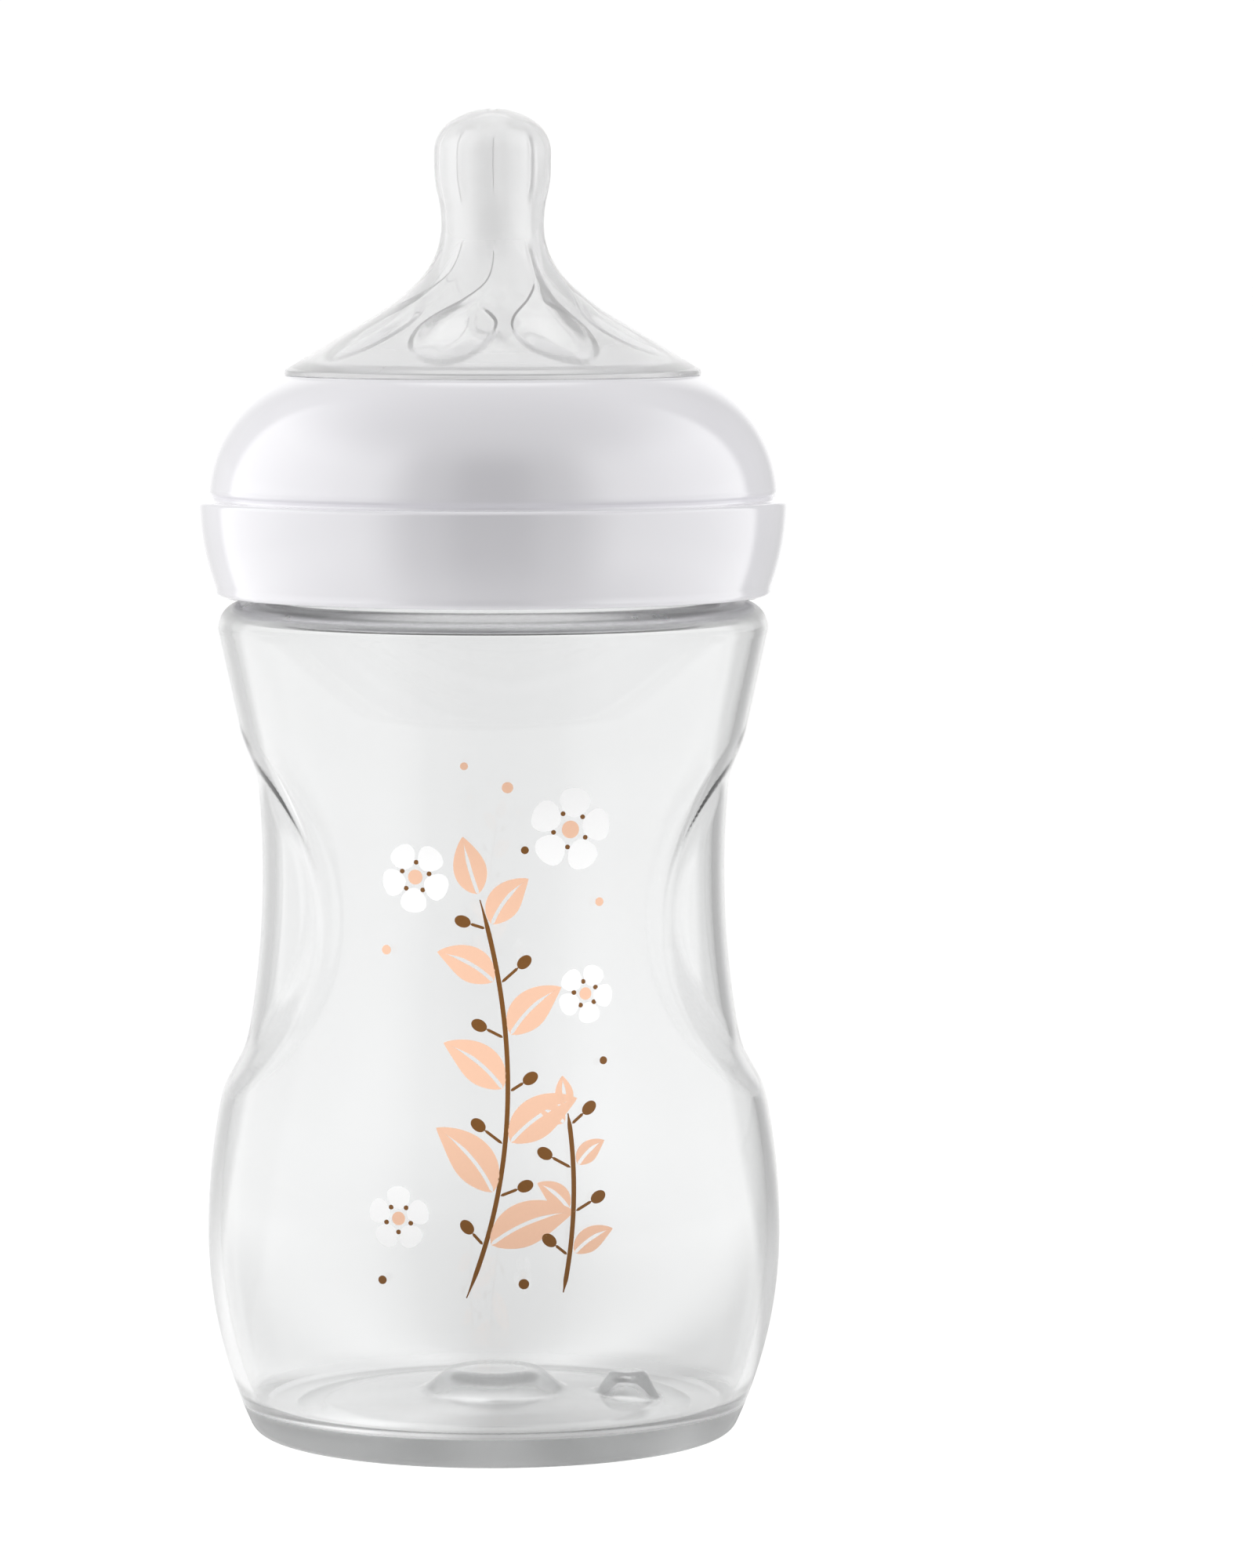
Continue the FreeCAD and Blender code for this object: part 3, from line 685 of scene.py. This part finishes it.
def nipple_line(inset):
    """The teat's skin from the tip down to the cone's foot, moved inwards by inset."""
    knee_s, knee_c = math.sin(KNEE_ANGLE), math.cos(KNEE_ANGLE)
    cone_s, cone_c = math.sin(CONE_ANGLE), math.cos(CONE_ANGLE)
    straight = COLLAR - NIPPLE_NECK - FOOT_ARC * (1 - knee_c) - CONE_ARC * (knee_c - cone_c)
    neck_z = LIP_TOP + 0.6 + straight * cone_c / cone_s + CONE_ARC * (cone_s - knee_s) + FOOT_ARC * knee_s
    foot_centre = NIPPLE_NECK + FOOT_ARC
    foot_arc = FOOT_ARC + inset
    gap = CONE_ARC - FOOT_ARC
    cone_x, cone_z = foot_centre + gap * knee_c, neck_z + gap * knee_s
    cone_arc = CONE_ARC + inset
    bulb, bulb_z = NIPPLE_NECK + BULB_SWELL, neck_z + BULB_RISE
    reach = (BULB_SWELL**2 + BULB_RISE**2) / (2 * BULB_SWELL)
    neck_arc = reach - BULB_ARC
    turn = BULB_RISE * (neck_arc + inset) / reach
    corner_z = bulb_z + BULB_STRAIGHT
    across = bulb - TIP_CORNER
    dome_gap = TIP_DOME - TIP_CORNER
    drop = math.sqrt(dome_gap**2 - across**2)
    dome = TIP_DOME - inset
    top = (FEED_HOLE, corner_z - drop + math.sqrt(dome**2 - FEED_HOLE**2))
    corner = (across * dome / dome_gap, corner_z - drop + drop * dome / dome_gap)
    neck_turn = (NIPPLE_NECK - inset + fall(neck_arc + inset, turn), neck_z + turn)
    neck = (NIPPLE_NECK - inset, neck_z)
    knee = (foot_centre - foot_arc * knee_c, neck_z - foot_arc * knee_s)
    cone = (cone_x - cone_arc * cone_c, cone_z - cone_arc * cone_s)
    line = arc_line(top, corner, dome, -1, 0.2)
    line += arc_line(corner, (bulb - inset, corner_z), TIP_CORNER - inset, -1, 0.2)[1:]
    line += even_line([(bulb - inset, corner_z), (bulb - inset, bulb_z)], 0.3)[1:]
    line += arc_line((bulb - inset, bulb_z), neck_turn, BULB_ARC - inset, -1, 0.3)[1:]
    line += arc_line(neck_turn, neck, neck_arc + inset, 1, 0.3)[1:]
    line += arc_line(neck, knee, foot_arc, 1, 0.16)[1:]
    line += arc_line(knee, cone, cone_arc, 1, 0.16)[1:]
    return line


PETALS, PETAL_DEPTH, PETAL_TIP, PETAL_FOOT = 8, 0.72, 4.6, 21.0
TEAT_COLUMNS = 480
# The two edges of a petal, as bearings in degrees by the distance from the axis
PETAL_OUTER = [(PETAL_TIP, 1.5), (5.2, 1.0), (5.8, -0.5), (6.5, -3.0), (7.5, -8.0), (9.2, -19.0)]
PETAL_OUTER += [(11.3, -31.0), (13.2, -35.5), (15.2, -35.5), (17.4, -32.5), (19.0, -28.0), (20.3, -22.0)]
PETAL_OUTER += [(PETAL_FOOT, -16.0)]
PETAL_INNER = [(PETAL_TIP, 14.0), (5.6, 10.0), (8.0, 6.0), (10.0, 3.4), (12.0, 2.2), (14.0, 1.2)]
PETAL_INNER += [(16.0, -1.0), (18.0, -4.5), (19.5, -8.5), (20.5, -12.5), (PETAL_FOOT, -16.0)]


def petal_depth(bearing, r):
    """How deep the petals are sunk into the cone's inner skin here, as a share of their full depth. The
    outer edge is crisp, and the inner one fades where the petal narrows.
    """
    if r < PETAL_TIP or r > PETAL_FOOT:
        return 0.0
    step = 360 / PETALS
    outer, inner = between(PETAL_OUTER, r), between(PETAL_INNER, r)
    run_in = smooth_step(PETAL_TIP - 0.05, PETAL_TIP + 0.6, r)
    narrow = (1 - smooth_step(9.5, 13.5, r)) * (0.4 + 0.6 * smooth_step(5.5, 8.5, r))
    fade = 0.2 + 2.8 * narrow
    depth = 0.0
    for lap in (-1, 0, 1):
        angle = math.degrees(bearing) % step + lap * step
        from_outer = math.radians(angle - outer) * r
        from_inner = math.radians(inner - angle) * r
        outer_edge = smooth_step(-0.16, 0.16, from_outer)
        inner_edge = smooth_step(-0.2, fade, from_inner)
        bowl = 0.55 + 0.45 * smooth_step(0, 3.5, min(from_outer, from_inner))
        depth = max(depth, outer_edge * inner_edge * bowl * run_in)
    return depth


def make_teat():
    """One skin of silicone from the feeding hole to the flange and back, with petals sunk into its inside."""
    outer = nipple_line(0.0)
    inner = nipple_line(TEAT_WALL)
    cone_r, cone_z = inner[-1]
    slope = math.tan(math.pi / 2 - CONE_ANGLE)
    bore = GROOVE - TEAT_WALL
    foot_rows = 24
    skirt = rounded_line(
        [
            (*outer[-1], 0),
            (COLLAR, LIP_TOP + 0.6, 0.25),
            (COLLAR, LIP_TOP, 0.15),
            (GROOVE, LIP_TOP, 0.3),
            (GROOVE, FLANGE_TOP, 0.3),
            (FLANGE, FLANGE_TOP, 0.3),
            (FLANGE, RIM, 0.3),
            (bore, RIM, 0.4),
            (bore, cone_z - (bore - cone_r) * slope, 0.8),
            (*inner[-1], 0),
        ]
    )
    line = inner[:-1] + list(reversed(outer + even_line(skirt, 0.45)[1:]))
    last_inner = len(inner) - 1 + foot_rows

    def shift(index, bearing, r, z):
        if index <= last_inner and z > LIP_TOP and r < bore - 0.4:
            sunk = PETAL_DEPTH * petal_depth(bearing, r)
            lean = smooth_step(4.2, 9.0, r)
            return r + sunk * (1 - 0.5 * lean), z + sunk * 0.86 * lean
        return r, z

    points, faces = turned(line, TEAT_COLUMNS, True, shift)
    piece = new_piece("teat_skin", points, faces, [SILICONE], "teat")
    piece.visible_shadow = False
    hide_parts("teat")


make_teat()

# Printed decoration

INK_GAP, INK_TOP = 0.02, 0.07
STEM, TWIG, VEIN = 0.55, 0.34, 0.42


def on_front(u, v, lift):
    """The place on the bottle's front that lies u along its surface from the middle, at height v."""
    r = side_radius(v, 0.0)
    bearing = u / r
    return ((r + lift) * math.sin(bearing), -(r + lift) * math.cos(bearing), v)


def quadratic(start, bend, end, share):
    """A point of a curve that leaves start towards bend and reaches end from there."""
    keep = 1 - share
    weights = (keep * keep, 2 * keep * share, share * share)
    return tuple(sum(w * part for w, part in zip(weights, axis)) for axis in zip(start, bend, end))


def bunched(count):
    """Shares from 0 to 1 that lie closer together towards both ends."""
    return [0.5 - 0.5 * math.cos(math.pi * step / count) for step in range(count + 1)]


def straight(foot, tip, shares):
    """Points at these shares of the way from foot to tip."""
    return [(foot[0] + (tip[0] - foot[0]) * share, foot[1] + (tip[1] - foot[1]) * share) for share in shares]


class Print:
    """One ink of the decoration: thin closed films that follow the bottle's front."""

    def __init__(self):
        self.points = []
        self.faces = []

    def film(self, rows):
        """Adds one film over a grid of (u, v) places. Rows run along it."""
        high, wide = len(rows), len(rows[0])
        first = len(self.points)
        for lift in (INK_GAP, INK_TOP):
            for row in rows:
                self.points.extend(on_front(u, v, lift) for u, v in row)
        layer = high * wide

        def at(row, column, top):
            return first + top * layer + row * wide + column

        for row in range(high - 1):
            for column in range(wide - 1):
                corners = [(row, column), (row, column + 1), (row + 1, column + 1), (row + 1, column)]
                self.faces.append(tuple(at(*corner, 1) for corner in corners))
                self.faces.append(tuple(at(*corner, 0) for corner in reversed(corners)))
        edge = [(0, column) for column in range(wide - 1)]
        edge += [(row, wide - 1) for row in range(high - 1)]
        edge += [(high - 1, column) for column in range(wide - 1, 0, -1)]
        edge += [(row, 0) for row in range(high - 1, 0, -1)]
        for index, here in enumerate(edge):
            there = edge[(index + 1) % len(edge)]
            self.faces.append((at(*here, 0), at(*there, 0), at(*there, 1), at(*here, 1)))

    def band(self, line, low, high, across=4):
        """A film along a centre line of (u, v), between two offsets to its left that may change along it."""
        rows = []
        count = len(line)
        for index, (u, v) in enumerate(line):
            before, after = line[max(index - 1, 0)], line[min(index + 1, count - 1)]
            along = Vector((after[0] - before[0], after[1] - before[1])).normalized()
            share = index / (count - 1)
            offsets = span(low(share), high(share), across + 1)
            rows.append([(u + along.y * offset, v - along.x * offset) for offset in offsets])
        self.film(rows)

    def stroke(self, line, width):
        """A line with tapered ends."""

        def half(share):
            return width / 2 * (0.25 + 0.75 * smooth_step(0, 0.08, min(share, 1 - share)))

        self.band(line, lambda share: -half(share), half, 2)

    def leaf(self, foot, tip, width, bow, vein):
        """A pointed leaf, bent by bow and split along its vein."""
        middle = ((foot[0] + tip[0]) / 2, (foot[1] + tip[1]) / 2)
        along = Vector((tip[0] - foot[0], tip[1] - foot[1]))
        bend = (middle[0] - along.y * bow, middle[1] + along.x * bow)
        line = [quadratic(foot, bend, tip, share) for share in span(0.0, 1.0, 25)]

        def margin(share):
            return 0.03 + width / 2 * math.sin(math.pi * share**0.8) ** 0.85

        def rib(share):
            return min(vein / 2 * (1 - smooth_step(0.55, 0.9, share)) + 0.004, margin(share) * 0.9)

        self.band(line, rib, margin)
        self.band(line, lambda share: -margin(share), lambda share: -rib(share))

    def petal(self, foot, tip, width):
        """A round-ended petal, widest near its tip."""

        def margin(place):
            share = 0.5 - 0.5 * math.cos(math.pi * place)
            return 0.02 + width * math.sqrt(max(share * (1 - share), 0.0)) * (0.62 + 0.38 * share)

        self.band(straight(foot, tip, bunched(16)), lambda place: -margin(place), margin)

    def dot(self, centre, length, width, tilt):
        """An oval spot, its long side turned by tilt degrees from upright."""
        along = Vector((math.sin(math.radians(tilt)), math.cos(math.radians(tilt))))
        reach = along * (length / 2)
        line = straight(Vector(centre) - reach, Vector(centre) + reach, bunched(14))

        def half(share):
            return 0.01 + width / 2 * math.sin(math.pi * share)

        self.band(line, lambda share: -half(share), half)

    def finish(self, name, material):
        """Makes the ink's piece, with crisp edges around its films."""
        piece = new_piece(name, self.points, self.faces, [material], "bottle")
        piece.data.set_sharp_from_angle(angle=math.radians(40))


def make_print():
    """A spray of leaves with seeds and blossom: large peach leaves, brown stems and seeds, white flowers."""
    peach, brown, white = Print(), Print(), Print()

    def sprig(foot, bend, top, leaf_length, leaf_width, pairs, first):
        """A stem with alternate leaves that shorten upwards, a leaf at its end and seeds beside it."""
        stem = [quadratic(foot, bend, top, share) for share in span(0.0, 1.0, 61)]
        brown.stroke(stem, STEM)
        for number in range(pairs):
            share = first + (0.93 - first) * number / (pairs - 1)
            here = quadratic(foot, bend, top, share)
            ahead = quadratic(foot, bend, top, min(share + 0.02, 1.0))
            along = Vector((ahead[0] - here[0], ahead[1] - here[1])).normalized()
            side = 1 if number % 2 == 0 else -1
            across = Vector((along.y, -along.x)) * side
            way = (across * 0.80 + along * 0.60).normalized()
            size = leaf_length * (1 - 0.42 * share)
            start = Vector(here) + way * 0.75
            end = start + way * size
            peach.leaf(tuple(start), tuple(end), leaf_width * (1 - 0.3 * share), 0.16 * side, VEIN)
            far = (-across * 0.85 + along * 0.52).normalized()
            stalk = 1.7 + 0.8 * (number % 3) / 2
            twig = [tuple(Vector(here) + far * (0.4 + stalk * step / 8)) for step in range(9)]
            brown.stroke(twig, TWIG)
            seed = Vector(here) + far * (stalk + 1.35)
            brown.dot(tuple(seed), 1.9, 1.35, math.degrees(math.atan2(far.x, far.y)))
        end = Vector(stem[-1])
        along = (end - Vector(stem[-4])).normalized()
        start = end + along * 0.7
        tip = start + along * leaf_length * 0.62
        peach.leaf(tuple(start), tuple(tip), leaf_width * 0.72, 0.05, VEIN)

    def flower(centre, size, turn):
        """Five white petals around a peach middle with brown stamens."""
        middle = Vector(centre)
        for number in range(5):
            angle = math.radians(turn + 72 * number)
            way = Vector((math.sin(angle), math.cos(angle))) * size
            white.petal(tuple(middle + way * 0.3), tuple(middle + way), size * 0.92)
            gap = Vector((math.sin(angle + 0.63), math.cos(angle + 0.63))) * size
            brown.dot(tuple(middle + gap * 0.42), 0.55, 0.55, 0)
        peach.dot(centre, size * 0.42, size * 0.42, 0)

    sprig((-3.2, 21.0), (5.5, 42.0), (-1.6, 66.5), 11.0, 5.2, 7, 0.14)
    sprig((8.0, 21.5), (10.2, 32.0), (8.6, 42.0), 5.8, 2.9, 4, 0.2)
    flower((9.0, 74.5), 4.9, 10)
    flower((-9.2, 69.0), 4.1, 40)
    flower((10.8, 55.5), 3.4, 25)
    flower((-11.2, 30.0), 3.7, 0)
    for centre, size in (((1.6, 79.5), 1.3), ((-3.4, 82.0), 0.9), ((12.6, 66.0), 1.0), ((-12.8, 60.5), 1.1)):
        peach.dot(centre, size, size, 0)
    for centre, size in (((-13.2, 22.8), 1.0), ((3.4, 22.6), 1.2), ((13.0, 47.8), 0.9), ((3.6, 72.2), 0.9)):
        brown.dot(centre, size, size, 0)
    peach.finish("print_peach", PEACH_INK)
    brown.finish("print_brown", BROWN_INK)
    white.finish("print_white", WHITE_INK)


make_print()

# Camera, lights, floor and background

CAMERA_PLACE = (0.0, -0.840, 0.146)
CAMERA_DOWN, CAMERA_RIGHT = 4.66, 1.085
SENSOR, LENS = 36.0, 162.36
SIDE_LAMP_SIZE, FOOT_LAMP_SIZE = 0.4, 0.048
SPOT_PLACE, SPOT_TARGET = Vector((0.0, -1.4, 0.25)), Vector((0.0, 0.0, 0.051))
SPOT_ANGLE, SPOT_BLEND, SPOT_SIZE = 3.4, 0.3, 0.03


def make_camera():
    """The photograph's view: from the front and a little above, through a long lens."""
    data = bpy.data.cameras.new("camera")
    data.sensor_width = SENSOR
    data.lens = LENS
    camera = bpy.data.objects.new("camera", data)
    camera.location = CAMERA_PLACE
    camera.rotation_euler = (math.radians(90 - CAMERA_DOWN), 0.0, math.radians(-CAMERA_RIGHT))
    bpy.context.scene.collection.objects.link(camera)
    bpy.context.scene.camera = camera
    bpy.context.scene.view_settings.view_transform = "Standard"


def new_lamp(name, kind, power, place, rotation):
    """A lamp that lights matt colour alone. What gloss and clear plastic show is the studio further down."""
    data = bpy.data.lights.new(name, kind)
    data.energy = power
    lamp = bpy.data.objects.new(name, data)
    lamp.location = place
    lamp.rotation_euler = rotation
    lamp.visible_glossy = False
    lamp.visible_transmission = False
    bpy.context.scene.collection.objects.link(lamp)
    return lamp


def side_lamp(name, place, facing, power):
    """A square lamp beside the object."""
    lamp = new_lamp(name, "AREA", power, place, (math.radians(90), 0.0, math.radians(facing)))
    lamp.data.size = SIDE_LAMP_SIZE


def front_spot():
    """A narrow spot on the print, which leaves the ring as it is."""
    turn = (SPOT_TARGET - SPOT_PLACE).to_track_quat("-Z", "Y").to_euler()
    lamp = new_lamp("front_spot", "SPOT", 44.0, SPOT_PLACE, turn)
    lamp.data.spot_size = math.radians(SPOT_ANGLE)
    lamp.data.spot_blend = SPOT_BLEND
    lamp.data.shadow_soft_size = SPOT_SIZE


def foot_lamp():
    """A small disc under the bottle that lights the ring's underside, as a bright floor does."""
    lamp = new_lamp("foot_lamp", "AREA", 0.065, (0.0, 0.0, 0.0002), (math.pi, 0.0, 0.0))
    lamp.data.shape = "DISK"
    lamp.data.size = FOOT_LAMP_SIZE
    lamp.visible_camera = False


make_camera()
side_lamp("lamp_left", (-0.45, 0.0, 0.33), -90, 1.85)
side_lamp("lamp_right", (0.45, 0.0, 0.33), 90, 1.55)
front_spot()
foot_lamp()

# Brightness of the studio by bearing from the camera's side, in degrees, negative to the left
STUDIO = [(-180, 1.05), (-164, 1.05), (-152, 0.72), (-134, 0.8), (-127, 1.6), (-85, 1.6), (-52, 1.75)]
STUDIO += [(-26, 0.6), (-6, 0.1), (6, 0.1), (26, 0.6), (52, 1.6), (85, 1.45), (119, 1.45), (126, 0.45)]
STUDIO += [(151, 0.5), (164, 1.05), (180, 1.05)]
# The same for the wall a little above the horizon
HIGH_WALL = [(-180, 1.25), (-166, 1.1), (-150, 0.7), (-134, 0.7), (-127, 1.5), (-85, 1.5), (-52, 1.75)]
HIGH_WALL += [(-26, 0.6), (-6, 0.1), (6, 0.1), (26, 0.6), (52, 1.6), (85, 1.4), (119, 1.4), (126, 0.45)]
HIGH_WALL += [(151, 0.5), (166, 1.1), (180, 1.25)]
# The same for the floor close to the object
NEAR_FLOOR = [(-180, 0.8), (-165, 1.0), (-150, 0.9), (-126, 1.05), (-90, 1.05), (-45, 1.25), (-22, 0.8)]
NEAR_FLOOR += [(0, 0.48), (22, 0.5), (45, 0.66), (90, 0.95), (119, 0.95), (128, 0.65), (150, 0.72)]
NEAR_FLOOR += [(165, 1.0), (180, 0.8)]
# The least and the most that clear plastic shows of the studio around it, and the most straight behind it
SEEN_LEAST, SEEN_MOST, SEEN_BEHIND = 0.8, 1.05, 1.3
DIFFUSE_LEVEL, CEILING = 0.42, 0.9
TOP_LIGHT, TOP_LIGHT_LEVEL = Vector((0.0, 0.574, 0.819)).normalized(), 0.8


def bearing_level(tree, sums, vector, table):
    """The brightness that a table gives for the bearing of a vector from the object's axis."""
    split = tree.nodes.new("ShaderNodeSeparateXYZ")
    tree.links.new(vector, split.inputs["Vector"])
    forward = sums.math("MULTIPLY", split.outputs["Y"], -1.0)
    bearing = sums.math("ARCTAN2", split.outputs["X"], forward)
    share = sums.math("MULTIPLY_ADD", bearing, 1 / (2 * math.pi))
    share.node.inputs[2].default_value = 0.5
    ramp = tree.nodes.new("ShaderNodeValToRGB")
    tree.links.new(share, ramp.inputs["Fac"])
    ramp.color_ramp.interpolation = "EASE"
    stops = ramp.color_ramp.elements
    while len(stops) < len(table):
        stops.new(0.5)
    for stop, (angle, level) in zip(stops, table):
        stop.position = angle / 360 + 0.5
        stop.color = (level, level, level, 1)
    return sums.math("MULTIPLY", ramp.outputs["Color"], 1.0), split.outputs


def at_most(sums, path, level, most):
    """Limits a level where it is seen through the object. All other rays get it as it is."""
    others = sums.math("SUBTRACT", 1.0, path["Is Transmission Ray"])
    limit = sums.math("ADD", most, sums.math("MULTIPLY", others, 10.0))
    return sums.math("MINIMUM", level, limit)


def make_world():
    """A white studio, darker around the camera and in a strip behind the object on each side."""
    world = bpy.data.worlds.new("studio")
    bpy.context.scene.world = world
    world.use_nodes = True
    tree = world.node_tree
    sums = Sums(tree)
    place = tree.nodes.new("ShaderNodeTexCoord")
    side, axes = bearing_level(tree, sums, place.outputs["Generated"], STUDIO)
    high = bearing_level(tree, sums, place.outputs["Generated"], HIGH_WALL)[0]
    wall_foot = sums.ease(axes["Z"], 0.12, 0.18, 0.0, 1.0)
    wall_top = sums.ease(axes["Z"], 0.45, 0.55, 1.0, 0.0)
    wall = sums.math("MULTIPLY", wall_foot, wall_top)
    side = sums.math("ADD", side, sums.math("MULTIPLY", sums.math("SUBTRACT", high, side), wall))
    above = sums.ease(axes["Z"], 0.45, 0.9, 0.0, 1.0)
    below = sums.math("SUBTRACT", 1.0, above)
    level = sums.math("ADD", sums.math("MULTIPLY", side, below), sums.math("MULTIPLY", above, CEILING))
    behind = tree.nodes.new("ShaderNodeVectorMath")
    behind.operation = "DOT_PRODUCT"
    behind.inputs[1].default_value = TOP_LIGHT
    tree.links.new(place.outputs["Generated"], behind.inputs[0])
    level = sums.math("ADD", level, sums.ease(behind.outputs["Value"], 0.965, 0.99, 0.0, TOP_LIGHT_LEVEL))
    path = tree.nodes.new("ShaderNodeLightPath").outputs
    level = sums.math("MAXIMUM", level, sums.math("MULTIPLY", path["Is Transmission Ray"], SEEN_LEAST))
    most = sums.ease(sums.math("ABSOLUTE", axes["X"]), 0.3, 0.6, SEEN_BEHIND, SEEN_MOST)
    level = at_most(sums, path, level, most)
    mirrored = sums.math("SUBTRACT", 1.0, path["Is Diffuse Ray"])
    level = sums.math("MULTIPLY", level, mirrored)
    level = sums.math("ADD", level, sums.math("MULTIPLY", path["Is Diffuse Ray"], DIFFUSE_LEVEL))
    level = sums.math("MAXIMUM", level, path["Is Camera Ray"])
    background = tree.nodes["Background"]
    background.inputs["Color"].default_value = (1, 1, 1, 1)
    tree.links.new(level, background.inputs["Strength"])


FLOOR_HALF, FLOOR_DROP, FLOOR_COLOUR = 20.0, 0.0004, 0.18
FLOOR_GLOW = 1 - FLOOR_COLOUR * DIFFUSE_LEVEL
FLOOR_FRONT, FLOOR_BOUNCE = 0.15, 0.36
NEAR, FAR, FRONT_FADE = 0.06, 0.3, 0.2


def make_floor():
    """A pale floor that shows white to the camera, keeps the object's shadow and shows the studio's
    brightness where it is mirrored or seen through the object.
    """
    mesh = bpy.data.meshes.new("floor")
    corners = [(x * FLOOR_HALF, y * FLOOR_HALF, 0) for x, y in ((-1, -1), (1, -1), (1, 1), (-1, 1))]
    mesh.from_pydata(corners, [], [(0, 1, 2, 3)])
    floor = bpy.data.objects.new("floor", mesh)
    bpy.context.scene.collection.objects.link(floor)
    floor.location = (0, 0, -FLOOR_DROP)
    material, nodes, links, shader = new_material("floor")
    shader.inputs["Base Color"].default_value = (FLOOR_COLOUR, FLOOR_COLOUR, FLOOR_COLOUR, 1)
    shader.inputs["Roughness"].default_value = 0.9
    shader.inputs["Specular IOR Level"].default_value = 0.0
    sums = Sums(material.node_tree)
    place = nodes.new("ShaderNodeTexCoord").outputs["Object"]
    side, axes = bearing_level(material.node_tree, sums, place, STUDIO)
    distance = nodes.new("ShaderNodeVectorMath")
    distance.operation = "LENGTH"
    links.new(place, distance.inputs[0])
    away = sums.ease(distance.outputs["Value"], NEAR, FAR, 0.0, 1.0)
    near = bearing_level(material.node_tree, sums, place, NEAR_FLOOR)[0]
    path = nodes.new("ShaderNodeLightPath").outputs
    side = at_most(sums, path, side, SEEN_MOST)
    front = sums.ease(axes["Y"], -FRONT_FADE, 0.0, SEEN_LEAST, 0.0)
    least = sums.math("MAXIMUM", FLOOR_FRONT, sums.math("MULTIPLY", path["Is Transmission Ray"], front))
    around = sums.math("SUBTRACT", sums.math("MAXIMUM", side, least), near)
    level = sums.math("ADD", sums.math("MULTIPLY", around, away), near)
    mirrored = sums.math("MAXIMUM", path["Is Glossy Ray"], path["Is Transmission Ray"])
    mirror = sums.math("MULTIPLY", mirrored, level)
    bounce = sums.math("MULTIPLY", path["Is Diffuse Ray"], FLOOR_BOUNCE)
    seen = sums.math("MAXIMUM", path["Is Camera Ray"], sums.math("MAXIMUM", mirror, bounce))
    glow = nodes.new("ShaderNodeEmission")
    glow.inputs["Color"].default_value = (1, 1, 1, 1)
    links.new(sums.math("MULTIPLY", seen, FLOOR_GLOW), glow.inputs["Strength"])
    total = nodes.new("ShaderNodeAddShader")
    links.new(shader.outputs["BSDF"], total.inputs[0])
    links.new(glow.outputs["Emission"], total.inputs[1])
    links.new(total.outputs["Shader"], nodes["Material Output"].inputs["Surface"])
    mesh.materials.append(material)


make_world()
make_floor()
